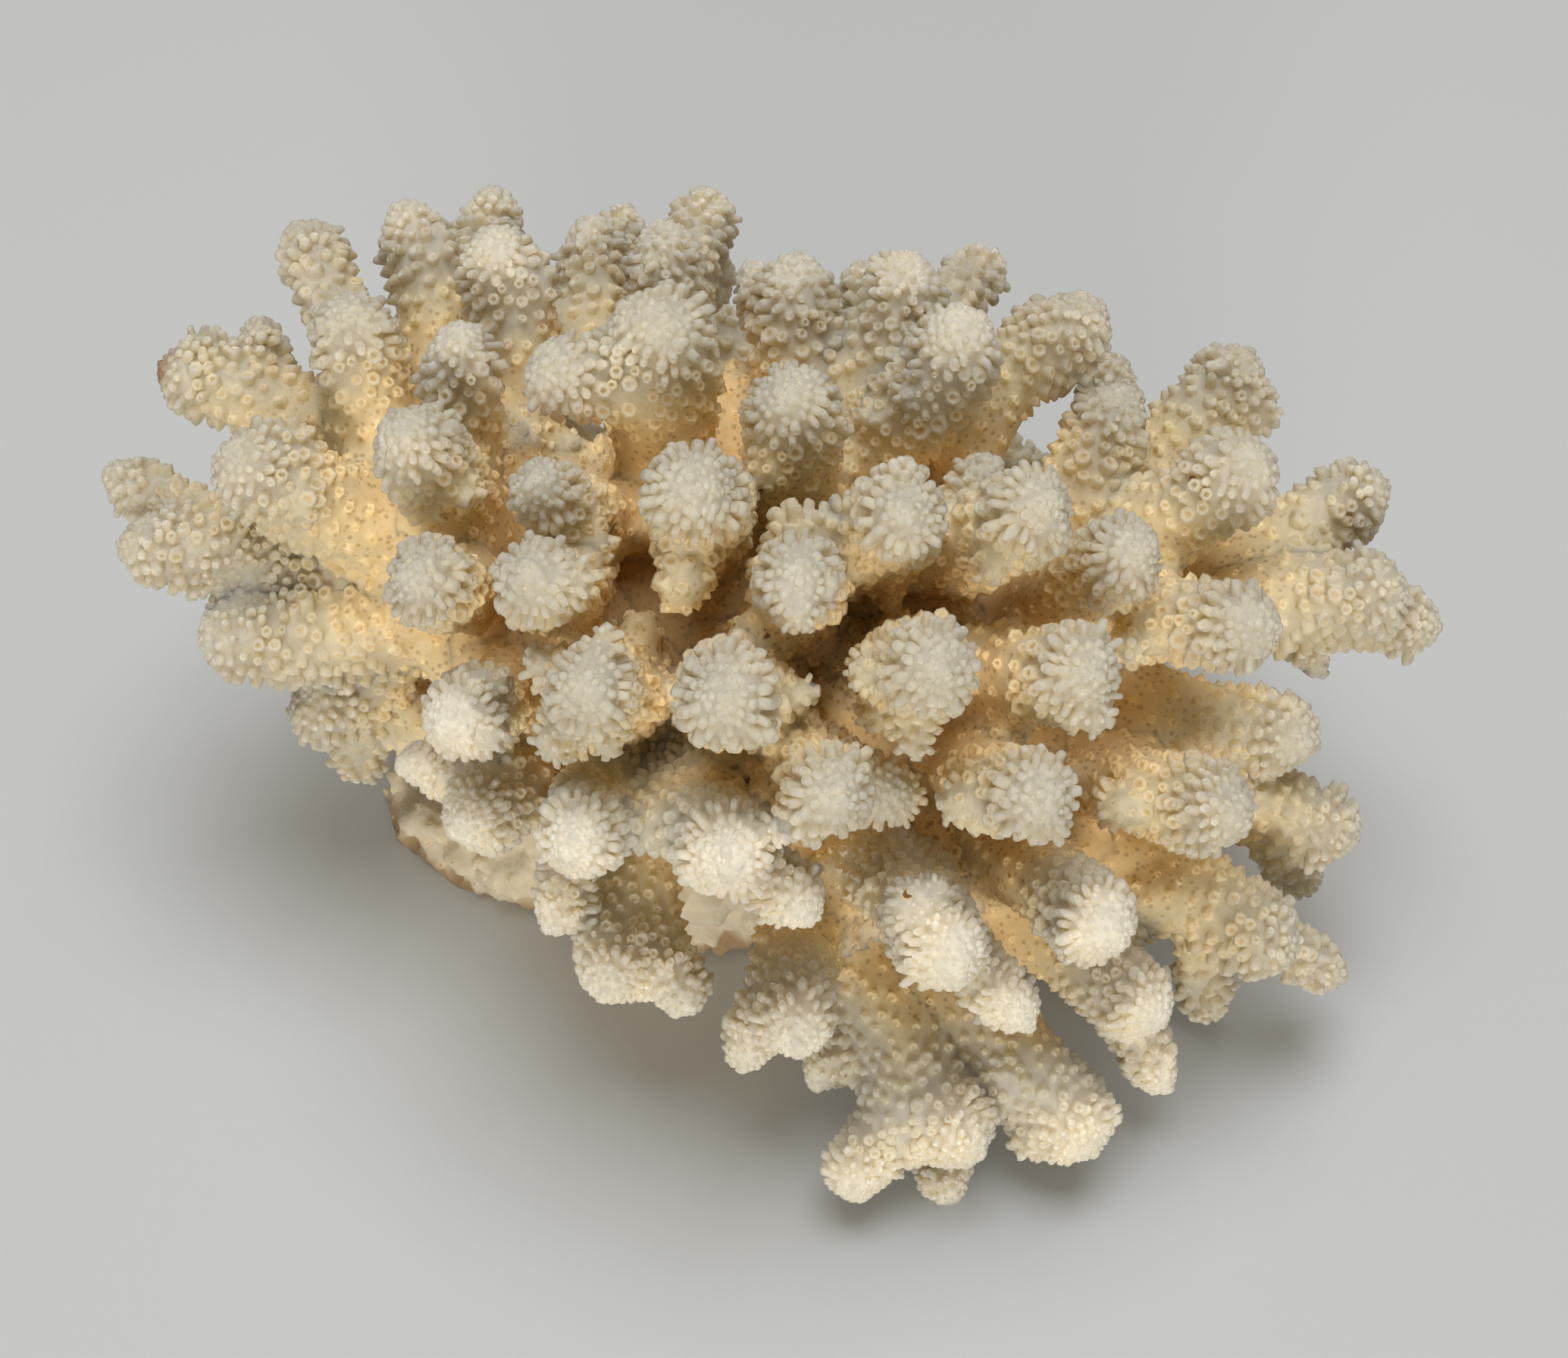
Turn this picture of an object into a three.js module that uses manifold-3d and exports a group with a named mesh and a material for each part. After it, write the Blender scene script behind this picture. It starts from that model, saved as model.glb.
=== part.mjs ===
// Finger coral: a bleached colony of stubby fingers that fan out from a broken foot.
// Millimetres, +Z up, resting on z = 0, with the origin under the middle of the colony.
import * as THREE from "three";
import { mergeVertices } from "three/addons/utils/BufferGeometryUtils.js";
import Module from "manifold-3d";

const wasm = await Module();
wasm.setup();

// Driving dimensions of the colony.
const GAP = 0.3; // clearance between pieces that grew together
const CORALLITE_RELIEF = 1.5; // how far the cup-shaped corallites stand off a finger's core
const FOOT_CENTRE = new THREE.Vector2(-22, 22); // middle of the broken foot on the surface
const FOOT_RADII = new THREE.Vector2(37, 27);
const FOOT_HEIGHT = 40;
const FOOT_LEAN = new THREE.Vector2(22, -6); // how far the top of the foot leans over
const FOOT_RAGGED = 0.07; // how much the foot's outline wanders, as a share of its radius
const CORE_RADII = new THREE.Vector3(40, 27, 24); // across, up and towards the viewer
const LIMB_RADIUS = 9.5;
const ROOT_RUN = 12; // how far a finger runs back from its heel before it meets a limb

// The colony as it is seen: sight lines come from one eye that looks down on it.
const EYE_DISTANCE = 320;
const EYE_ELEVATION = THREE.MathUtils.degToRad(50);
const MM_PER_PIXEL = 0.1; // in the plane through the aim point, square to the view
const PICTURE_MIDDLE = new THREE.Vector2(1034.5, 896);
const AIM_POINT = new THREE.Vector3(0, 0, 55);
const CORE_PIXEL = [1000, 850];
const CORE_DEPTH = -20;

// The limbs that the fingers grow from: the picture position and depth of each one's end.
const LIMB_ENDS = [
  [[520, 715], -7], [[570, 570], -9], [[840, 540], -6], [[1090, 580], -5], [[1350, 660], -8],
  [[1540, 800], -9], [[1470, 1040], -12], [[1300, 1190], -9], [[1130, 1270], -12], [[850, 1070], -8],
  [[650, 920], -10], [[510, 975], -24], [[965, 470], -14],
];
const RIDGE_ENDS = [[[800, 800], -8], [[1260, 880], -8]]; // the middle fingers rise from between these
const FAR_LIMB_ENDS = [[-34, 44, 44], [0, 50, 46], [34, 44, 42]];

// A finger's outline: station along its axis, share of its radius.
const FINGER_PROFILE = [[0, 0], [0.3, 0.95], [0.6, 1.05], [0.81, 0.99], [0.95, 0.76], [1, 0]];
const FORK_PROFILE = [[0, 0], [0.3, 1], [0.93, 0.85], [1, 0]];
const LOBE_PROFILE = [[0, 0], [0.3, 1], [0.85, 0.8], [1, 0]];
const LIMB_PROFILE = [[0, 0], [0.3, 1.15], [0.9, 0.9], [1, 0]];
const FINGER_SIDES = 7;
const FORK_SIDES = 5;
const LIMB_SIDES = 5;
const LOBE_SIDES = 4;
const FORK_RADIUS = 3.8; // a side branch thinner than this is a lobe

// A finger runs from the ridge through its heel to its tip. Tips and heels are picture positions
// with a depth towards the eye, and a fork leaves its finger at a share of the way from heel to tip.
const finger = (tip, depth, heel, heelDepth, radius, forks = []) =>
  ({ tip, depth, heel, heelDepth, radius, forks });
const fork = (tip, depth, along, radius) => ({ tip, depth, along, radius });

const FINGERS = {
  left: [
    finger([200, 480], -8, [430, 560], -12, 4.9, [
      fork([262, 425], -10, 0.6, 3.1), fork([345, 410], -12, 0.3, 3.9),
    ]),
    finger([455, 390], 6, [500, 570], -6, 5.9, [fork([390, 288], -12, 0.1, 5.4)]),
    finger([290, 600], 14, [480, 690], -2, 6.5, [
      fork([395, 545], 10, 0.45, 3.7), fork([410, 680], 16, 0.35, 2.9),
    ]),
    finger([146, 722], 0, [470, 728], -8, 5.8, [fork([135, 615], -16, 0.3, 4.9)]),
    finger([255, 845], 2, [520, 830], -8, 5.9),
    finger([385, 965], -10, [510, 870], -14, 5.3, [fork([478, 1025], -36, 0.1, 4.3)]),
  ],
  top: [
    finger([530, 255], -14, [590, 500], -14, 4.9, [
      fork([588, 310], -10, 0.35, 3.3), fork([672, 245], -26, 0.05, 4.7),
    ]),
    finger([605, 428], 14, [610, 610], -2, 5.3),
    finger([648, 292], 2, [690, 520], -8, 5.7, [fork([745, 360], 0, 0.45, 3.3)]),
    finger([780, 275], -16, [790, 480], -14, 4.5, [fork([830, 270], -32, 0.05, 4.1)]),
    finger([875, 288], 0, [880, 480], -8, 4.9, [fork([945, 252], -22, 0.1, 4.9)]),
    finger([1050, 332], 0, [1050, 520], -6, 5.5, [fork([980, 345], -10, 0.2, 3.9)]),
    finger([1205, 328], 2, [1150, 530], -5, 5.7, [
      fork([1322, 338], -22, 0.1, 4.5), fork([1130, 345], -15, 0.1, 4),
    ]),
    finger([1285, 415], 14, [1190, 570], -2, 6.1),
  ],
  right: [
    finger([1460, 400], -2, [1290, 540], -8, 5.9),
    finger([1495, 505], -4, [1390, 700], -8, 5.5),
    finger([1655, 455], -12, [1510, 660], -14, 5.7, [
      fork([1700, 560], -14, 0.5, 3.7), fork([1525, 520], -16, 0.3, 3.1),
    ]),
    finger([1680, 600], 12, [1500, 720], -4, 6.1, [
      fork([1585, 578], 10, 0.4, 2.9), fork([1642, 572], 12, 0.7, 2.9),
    ]),
    finger([1835, 630], -8, [1640, 745], -12, 5.5),
    finger([1860, 775], 4, [1640, 800], -8, 5.9, [
      fork([1900, 838], -10, 0.3, 4.9), fork([1750, 920], -12, 0.15, 3.3),
    ]),
    finger([1685, 830], 24, [1470, 815], -2, 5.9, [fork([1495, 862], 18, 0.1, 3.3)]),
    finger([1515, 715], 28, [1370, 800], 0, 5.3),
    finger([1750, 980], -6, [1480, 915], -8, 5.5),
    finger([1800, 1110], -14, [1520, 1010], -14, 6.1, [fork([1730, 1180], -28, 0.3, 4.3)]),
    finger([1640, 1080], 24, [1470, 1030], -4, 6.1, [fork([1450, 1060], 16, 0.2, 3.3)]),
    finger([1710, 1265], 2, [1530, 1140], -12, 6.3, [
      fork([1775, 1290], -18, 0.4, 4.1), fork([1590, 1345], -30, 0.1, 4.3),
    ]),
  ],
  centre: [
    finger([875, 400], 24, [880, 590], 2, 7.1, [
      fork([690, 490], 24, 0.3, 5.5), fork([797, 392], 22, 0.65, 3.5),
    ]),
    finger([1045, 505], 26, [1050, 640], 3, 6.3, [fork([1015, 640], 12, 0.1, 3.1)]),
    finger([910, 640], 44, [930, 700], 6, 6.5, [fork([890, 800], 36, 0.1, 4.7)]),
    finger([690, 640], 34, [820, 690], 4, 4.7),
    finger([530, 560], 28, [620, 690], 0, 6.1),
    finger([548, 762], 38, [620, 780], 3, 5.5),
    finger([695, 765], 46, [760, 790], 6, 5.5, [fork([800, 765], 24, 0.2, 3.5)]),
    finger([770, 912], 50, [830, 900], 8, 5.9, [
      fork([680, 868], 34, 0.4, 3.3), fork([812, 826], 34, 0.45, 2.9), fork([722, 1005], 34, 0.4, 3.1),
    ]),
    finger([960, 925], 54, [970, 900], 10, 6.7, [fork([1078, 915], 32, 0.35, 3.1)]),
    finger([1055, 762], 48, [1050, 800], 8, 5.7, [fork([1060, 668], 30, 0.3, 4.3)]),
    finger([1240, 880], 52, [1180, 880], 8, 6.1, [
      fork([1118, 885], 36, 0.4, 3.3), fork([1210, 1008], 36, 0.4, 3.1), fork([1260, 800], 36, 0.45, 3.3),
    ]),
    finger([1200, 672], 44, [1150, 740], 5, 5.7, [
      fork([1145, 612], 36, 0.6, 2.7), fork([1216, 603], 36, 0.6, 2.7),
    ]),
    finger([1390, 660], 38, [1240, 740], 4, 6.1, [fork([1310, 590], 12, 0.15, 4.1)]),
    finger([1450, 890], 40, [1290, 890], 5, 6.3, [fork([1475, 950], 26, 0.55, 3.3)]),
    finger([1390, 1060], 42, [1270, 1010], 5, 5.7, [fork([1235, 1060], 30, 0.5, 3.3)]),
    finger([1110, 1060], 48, [1040, 990], 8, 5.7, [fork([1205, 1050], 24, 0.2, 3.9)]),
  ],
  lower: [
    finger([590, 960], 34, [680, 910], 0, 5.5, [fork([685, 920], 20, 0.4, 3.3)]),
    finger([600, 1095], 14, [720, 1010], -8, 5.5, [fork([515, 1000], -4, 0.15, 4.1)]),
    finger([755, 1130], 40, [820, 1010], 2, 5.7, [fork([720, 1245], 4, 0.05, 4.3)]),
    finger([795, 1325], 6, [860, 1110], -10, 5.7, [fork([920, 1345], 4, 0.2, 4.5)]),
    finger([975, 1150], 44, [900, 1020], 6, 6.5, [
      fork([848, 1095], 30, 0.35, 4.7), fork([1085, 1225], 32, 0.4, 4.3),
    ]),
    finger([1265, 1280], 30, [1170, 1150], 0, 6.3, [
      fork([1258, 1165], 20, 0.3, 3.3), fork([1370, 1370], 14, 0.2, 4.5),
    ]),
    finger([1050, 1390], 16, [1055, 1200], -8, 5.5, [fork([965, 1420], 2, 0.2, 4.5)]),
    finger([1475, 1240], 26, [1330, 1130], -4, 6.1),
    finger([1540, 1350], 6, [1380, 1230], -10, 5.7, [fork([1545, 1445], -10, 0.35, 4.1)]),
    finger([1290, 1540], 2, [1160, 1330], -10, 6.5, [
      fork([1100, 1585], -2, 0.35, 5.2), fork([1055, 1430], -14, 0.05, 3.9),
    ]),
    finger([1455, 1525], -2, [1270, 1330], -10, 6.7, [fork([1332, 1545], -8, 0.5, 3.1)]),
    finger([1250, 1600], -10.5, [1230, 1430], -18, 4.3),
  ],
};

// The far side, which the picture doesn't show: tips and heels as places in the part's frame.
const farFinger = (tip, heel, radius, forks = []) => ({ tipPlace: tip, heelPlace: heel, radius, forks });
const farFork = (tip, along, radius) => ({ tipPlace: tip, along, radius });
FINGERS.back = [
  farFinger([-70, 44, 36], [-46, 36, 40], 5.2, [
    farFork([-58, 60, 44], 0.2, 4.8), farFork([-54, 56, 24], 0.1, 4.6),
  ]),
  farFinger([-38, 72, 38], [-32, 50, 42], 5.4, [
    farFork([-20, 70, 26], 0.1, 4.6), farFork([-48, 66, 54], 0.1, 4.8),
  ]),
  farFinger([-4, 80, 48], [-2, 56, 46], 5.6, [
    farFork([8, 76, 30], 0.1, 4.8), farFork([-16, 74, 58], 0.1, 4.8),
  ]),
  farFinger([32, 74, 44], [26, 52, 42], 5.4, [
    farFork([40, 66, 26], 0.1, 4.6), farFork([16, 74, 56], 0.1, 4.8),
  ]),
  farFinger([64, 54, 44], [44, 44, 42], 5.2, [
    farFork([70, 38, 28], 0.15, 4.6), farFork([48, 66, 54], 0.1, 4.6),
  ]),
];
FINGERS.top[0].forks.push(farFork([-58, 58, 60], 0.05, 4.6));
FINGERS.top[2].forks.push(farFork([-34, 66, 64], 0.05, 4.8));
FINGERS.top[4].forks.push(farFork([-10, 68, 68], 0.05, 4.8));
FINGERS.top[6].forks.push(farFork([12, 67, 66], 0.05, 4.8));
FINGERS.right[0].forks.push(farFork([38, 60, 62], 0.05, 4.6));

// The place that shows at a picture position, at a depth towards the eye from the aim point.
function placeOf([x, y], depth) {
  const scale = (MM_PER_PIXEL * (EYE_DISTANCE - depth)) / EYE_DISTANCE;
  return new THREE.Vector3((x - PICTURE_MIDDLE.x) * scale, (PICTURE_MIDDLE.y - y) * scale, depth)
    .applyAxisAngle(new THREE.Vector3(1, 0, 0), Math.PI / 2 - EYE_ELEVATION)
    .add(AIM_POINT);
}

function solidOf(geometry) {
  const bare = new THREE.BufferGeometry();
  bare.setAttribute("position", geometry.getAttribute("position"));
  bare.setIndex(geometry.getIndex());
  const merged = mergeVertices(bare, 1e-4);
  const vertProperties = new Float32Array(merged.getAttribute("position").array);
  const triVerts = new Uint32Array(merged.getIndex().array);
  return new wasm.Manifold(new wasm.Mesh({ numProp: 3, vertProperties, triVerts }));
}

function geometryOf(solid) {
  const mesh = solid.getMesh();
  const geometry = new THREE.BufferGeometry();
  geometry.setAttribute("position", new THREE.BufferAttribute(mesh.vertProperties, 3));
  geometry.setIndex(new THREE.BufferAttribute(mesh.triVerts, 1));
  return geometry;
}

// A knobbly rod along an axis: a turned profile, bent along the axis, with every other point of each
// ring drawn in, so that the rest stand out as blunt corallites.
function rodSolid(axis, radius, profile, sides, grow) {
  const turned = profile.map(([station, share]) => {
    return new THREE.Vector2(share * radius + (share && grow), station);
  });
  const geometry = new THREE.LatheGeometry(turned, sides);
  const frames = axis.computeFrenetFrames(turned.length - 1);
  const position = geometry.getAttribute("position");
  for (let k = 0; k < position.count; k++) {
    const column = Math.floor(k / turned.length) % sides;
    const ring = k % turned.length;
    const knobbly = ring > 0 && ring < turned.length - 1 && (column + ring) % 2;
    const reach = turned[ring].x - (knobbly ? Math.min(CORALLITE_RELIEF, turned[ring].x / 3) : 0);
    const angle = (column / sides) * 2 * Math.PI;
    const point = axis.getPoint(turned[ring].y);
    point.addScaledVector(frames.normals[ring], reach * Math.sin(angle));
    point.addScaledVector(frames.binormals[ring], -reach * Math.cos(angle));
    position.setXYZ(k, point.x, point.y, point.z);
  }
  return solidOf(geometry);
}

const core = placeOf(CORE_PIXEL, CORE_DEPTH);
const limbLines = LIMB_ENDS.map(([pixel, depth]) => new THREE.Line3(core, placeOf(pixel, depth)));
FAR_LIMB_ENDS.forEach((end) => limbLines.push(new THREE.Line3(core, new THREE.Vector3(...end))));
const ridge = new THREE.Line3(...RIDGE_ENDS.map(([pixel, depth]) => placeOf(pixel, depth)));
const rootLines = [...limbLines, ridge];

// The place that a finger grows from: on the nearest limb to a point a little way behind its heel,
// and far enough down that limb for the finger to rise out of it without a kink.
function rootOf(heel, tip) {
  const behind = new THREE.Vector3().subVectors(heel, tip).setLength(ROOT_RUN).add(heel);
  const places = rootLines.map((line) => line.closestPointToPoint(behind, true, new THREE.Vector3()));
  const nearest = places.reduce((best, p) => (p.distanceTo(behind) < best.distanceTo(behind) ? p : best));
  const root = nearest.clone();
  for (let share = 0.1; share < 1 && root.distanceTo(heel) < ROOT_RUN; share += 0.1) {
    root.lerpVectors(nearest, core, share);
  }
  return root;
}

function tipOf(branch) {
  return branch.tipPlace ? new THREE.Vector3(...branch.tipPlace) : placeOf(branch.tip, branch.depth);
}

function fingerSolid(spec, grow = 0) {
  const tip = tipOf(spec);
  const heel = spec.heelPlace ? new THREE.Vector3(...spec.heelPlace) : placeOf(spec.heel, spec.heelDepth);
  const root = rootOf(heel, tip);
  const axis = new THREE.CatmullRomCurve3([root, heel, tip]);
  let solid = rodSolid(axis, spec.radius, FINGER_PROFILE, FINGER_SIDES, grow);
  for (const branch of spec.forks) {
    const start = (1 + branch.along) / 2;
    const from = axis.getPoint(start);
    const to = tipOf(branch);
    const bend = from.clone().addScaledVector(axis.getTangent(start), from.distanceTo(to) * 0.3);
    const bow = new THREE.QuadraticBezierCurve3(from, bend, to);
    const lobe = branch.radius < FORK_RADIUS;
    const profile = lobe ? LOBE_PROFILE : FORK_PROFILE;
    solid = solid.add(rodSolid(bow, branch.radius, profile, lobe ? LOBE_SIDES : FORK_SIDES, grow));
  }
  return solid;
}

// The foot: a stalk that is broken off flat, and the limbs that part from it.
function footSolid(grow = 0) {
  const heart = new THREE.SphereGeometry(1, 10, 7);
  heart.scale(CORE_RADII.x + grow, CORE_RADII.y + grow, CORE_RADII.z + grow);
  heart.rotateX(Math.PI / 2 - EYE_ELEVATION);
  heart.translate(core.x, core.y, core.z);
  const outline = [[0, 0], [1, 0], [1.02, 0.12], [0.92, 0.35], [0.84, 0.7], [0, 1]];
  const stalk = new THREE.LatheGeometry(outline.map(([r, h]) => new THREE.Vector2(r, h)), 14);
  const position = stalk.getAttribute("position");
  for (let k = 0; k < position.count; k++) {
    const height = position.getY(k);
    const angle = Math.atan2(position.getX(k), position.getZ(k));
    const ragged = 1 + FOOT_RAGGED * (Math.sin(3 * angle + 5 * height) + Math.sin(5 * angle + 1));
    const x = FOOT_CENTRE.x + FOOT_LEAN.x * height + position.getX(k) * ragged * (FOOT_RADII.x + grow);
    const y = FOOT_CENTRE.y + FOOT_LEAN.y * height - position.getZ(k) * ragged * (FOOT_RADII.y + grow);
    position.setXYZ(k, x, y, height * FOOT_HEIGHT);
  }
  let solid = solidOf(heart).add(solidOf(stalk));
  for (const line of limbLines) {
    const axis = new THREE.LineCurve3(line.start, line.end);
    solid = solid.add(rodSolid(axis, LIMB_RADIUS, LIMB_PROFILE, LIMB_SIDES, grow));
  }
  return solid;
}

// What is left of a piece above the surface, without slivers that a cut has set loose.
const below = solidOf(new THREE.BoxGeometry(400, 400, 100).translate(0, 0, -50));
function trimmed(solid) {
  const bodies = solid.subtract(below).decompose();
  return bodies.reduce((largest, body) => (body.volume() > largest.volume() ? body : largest));
}

const coralWhite = new THREE.MeshStandardMaterial({ color: 0xe9e2d2, roughness: 0.85, metalness: 0 });
const coralTan = new THREE.MeshStandardMaterial({ color: 0xb8946a, roughness: 0.9, metalness: 0 });

function meshOf(solid, name, material) {
  const mesh = new THREE.Mesh(geometryOf(solid), material);
  mesh.name = name;
  return mesh;
}

const colony = new THREE.Group();
colony.add(meshOf(trimmed(footSolid()), "foot", coralTan));
let taken = footSolid(GAP);
for (const [side, row] of Object.entries(FINGERS)) {
  row.forEach((spec, n) => {
    const solid = trimmed(fingerSolid(spec).subtract(taken));
    colony.add(meshOf(solid, `${side}_finger_${n + 1}`, coralWhite));
    taken = taken.add(fingerSolid(spec, GAP));
  });
}

// The origin goes under the middle of the colony's box.
const box = new THREE.Box3().setFromObject(colony);
const middle = box.getCenter(new THREE.Vector3());
colony.position.set(-middle.x, -middle.y, 0);

export default colony;
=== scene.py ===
"""Finger coral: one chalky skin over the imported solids, with tubular corallites all over its fingers.

The solids say where every finger is and how far it reaches. The skin is their rounded union, every
finger's share of it is a piece of its own, and the corallites stand on it out to the solids' reach.
"""

import heapq
import logging
import math
from dataclasses import dataclass, field
from enum import Enum

import bpy
import numpy as np
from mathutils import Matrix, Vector, noise
from mathutils.bvhtree import BVHTree


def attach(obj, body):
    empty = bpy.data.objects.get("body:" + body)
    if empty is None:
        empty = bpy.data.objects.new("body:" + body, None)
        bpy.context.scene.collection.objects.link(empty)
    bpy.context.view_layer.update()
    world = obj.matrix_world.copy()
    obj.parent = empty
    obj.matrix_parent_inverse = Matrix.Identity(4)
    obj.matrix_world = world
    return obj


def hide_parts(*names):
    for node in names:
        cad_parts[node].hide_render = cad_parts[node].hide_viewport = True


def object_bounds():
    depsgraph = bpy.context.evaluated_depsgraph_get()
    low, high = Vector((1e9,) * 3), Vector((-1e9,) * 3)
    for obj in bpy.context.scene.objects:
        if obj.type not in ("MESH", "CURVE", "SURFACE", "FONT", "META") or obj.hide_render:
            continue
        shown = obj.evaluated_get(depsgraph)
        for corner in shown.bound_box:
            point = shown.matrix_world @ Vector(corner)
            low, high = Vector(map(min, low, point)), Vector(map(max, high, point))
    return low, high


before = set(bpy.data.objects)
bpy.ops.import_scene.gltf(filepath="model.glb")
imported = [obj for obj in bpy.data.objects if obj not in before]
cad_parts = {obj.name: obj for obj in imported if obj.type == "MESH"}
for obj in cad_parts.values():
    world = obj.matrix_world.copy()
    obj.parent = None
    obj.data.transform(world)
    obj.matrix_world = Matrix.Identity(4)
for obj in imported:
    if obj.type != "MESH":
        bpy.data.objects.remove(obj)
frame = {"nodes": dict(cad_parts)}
CAD_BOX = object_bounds()

LOG = logging.getLogger("finger_coral")
Array = np.ndarray
Colour = tuple[float, float, float]
Socket = bpy.types.NodeSocket
MM = 0.001
FOOT = "foot"
SEED = 11
TINY = 1e-12
WELD = 0.001 * MM
MIX_FROM, MIX_TO, MIXED = 6, 7, 2


class Slot(Enum):
    """The material slots."""

    FINGER = "finger"
    FOOT = "foot"


class Trait(Enum):
    """What a mesh says about each of its points, for the finish to read."""

    TONE = "tone"
    LIP = "lip"
    PIT = "pit"
    STAIN = "stain"


def unit(vectors: Array) -> Array:
    """Vectors scaled to length one."""
    return vectors / np.maximum(np.linalg.norm(vectors, axis=-1, keepdims=True), TINY)


def gathered(index: Array, values: Array, count: int) -> Array:
    """Sums of rows of values by index.

    Args:
        index: The sum that each row goes to.
        values: The rows, three numbers each.
        count: How many sums there are.

    Returns:
        One row of three sums for each index.
    """
    return np.stack([np.bincount(index, values[:, k], count) for k in range(3)], axis=1)


def corner_normals(places: Array, faces: Array) -> Array:
    """Smooth normals of a mesh of four-cornered faces.

    Args:
        places: The points.
        faces: Four point numbers a face. A triangle repeats its last one.

    Returns:
        A unit normal at each point, weighted by the faces' areas.
    """
    across = np.cross(places[faces[:, 2]] - places[faces[:, 0]], places[faces[:, 3]] - places[faces[:, 1]])
    flat = faces[:, 2] == faces[:, 3]
    a, b, c = (places[faces[flat, k]] for k in range(3))
    across[flat] = np.cross(b - a, c - a)
    total = np.zeros_like(places)
    for k in range(4):
        total += gathered(faces[:, k], across, len(places))
    return unit(total)


@dataclass(frozen=True)
class Eye:
    """The photograph's viewpoint, which also says where its small knobs and holes lie."""

    aim: tuple[float, float, float] = (2.6 * MM, -13.78 * MM, 55 * MM)
    distance: float = 320 * MM
    elevation: float = math.radians(50)
    width: float = 2069
    height: float = 1792
    focal: float = 3200

    def away(self) -> Vector:
        """The way from the aim to the eye."""
        return Vector((0, -math.cos(self.elevation), math.sin(self.elevation)))

    def place(self) -> Vector:
        """Where the eye is."""
        return Vector(self.aim) + self.away() * self.distance

    def towards(self, x: float, y: float) -> Vector:
        """The way from the eye through a point of the picture, one unit deep.

        Args:
            x: The point's distance from the picture's left edge, in pixels.
            y: Its distance from the top edge.

        Returns:
            The way.
        """
        side = Vector((1, 0, 0))
        up = Vector((0, math.sin(self.elevation), math.cos(self.elevation)))
        right, down = (x - self.width / 2) / self.focal, (y - self.height / 2) / self.focal
        return side * right - up * down - self.away()

    def depth(self, tree: BVHTree, x: float, y: float) -> float | None:
        """How deep a point of the picture is, or None where it shows nothing of the colony."""
        hit = tree.ray_cast(self.place(), self.towards(x, y))[0]
        return None if hit is None else (self.place() - hit).dot(self.away())


@dataclass
class Shell:
    """A mesh in the making: points, faces, normals and the traits of each point."""

    places: Array
    faces: Array
    normals: Array
    traits: dict[Trait, Array]

    @staticmethod
    def joined(shells: list["Shell"]) -> "Shell":
        """One shell made of several.

        Args:
            shells: The shells, all with every trait.

        Returns:
            The shell that holds them in order.
        """
        starts = np.cumsum([0] + [len(s.places) for s in shells[:-1]])
        return Shell(
            np.concatenate([s.places for s in shells]),
            np.concatenate([s.faces + start for s, start in zip(shells, starts)]),
            np.concatenate([s.normals for s in shells]),
            {t: np.concatenate([s.traits[t] for s in shells]) for t in Trait},
        )

    def to_object(self, name: str) -> bpy.types.Object:
        """A Blender object with this mesh, shaded smooth by its own normals.

        Args:
            name: The piece's name.

        Returns:
            The object, linked to the scene.
        """
        mesh = bpy.data.meshes.new(name)
        three = self.faces[:, 2] == self.faces[:, 3]
        sizes = np.where(three, 3, 4)
        starts = np.concatenate([[0], np.cumsum(sizes)[:-1]])
        keep = np.ones(self.faces.shape, bool)
        keep[three, 3] = False
        corners = self.faces[keep]
        mesh.vertices.add(len(self.places))
        mesh.vertices.foreach_set("co", self.places.astype(np.float32).ravel())
        mesh.loops.add(len(corners))
        mesh.loops.foreach_set("vertex_index", corners.astype(np.int32))
        mesh.polygons.add(len(sizes))
        mesh.polygons.foreach_set("loop_start", starts.astype(np.int32))
        for trait in Trait:
            layer = mesh.attributes.new(trait.value, "FLOAT", "POINT")
            layer.data.foreach_set("value", self.traits[trait].astype(np.float32))
        mesh.update(calc_edges=True)
        mesh.normals_split_custom_set_from_vertices(self.normals.tolist())
        piece = bpy.data.objects.new(name, mesh)
        bpy.context.scene.collection.objects.link(piece)
        return piece


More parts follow.
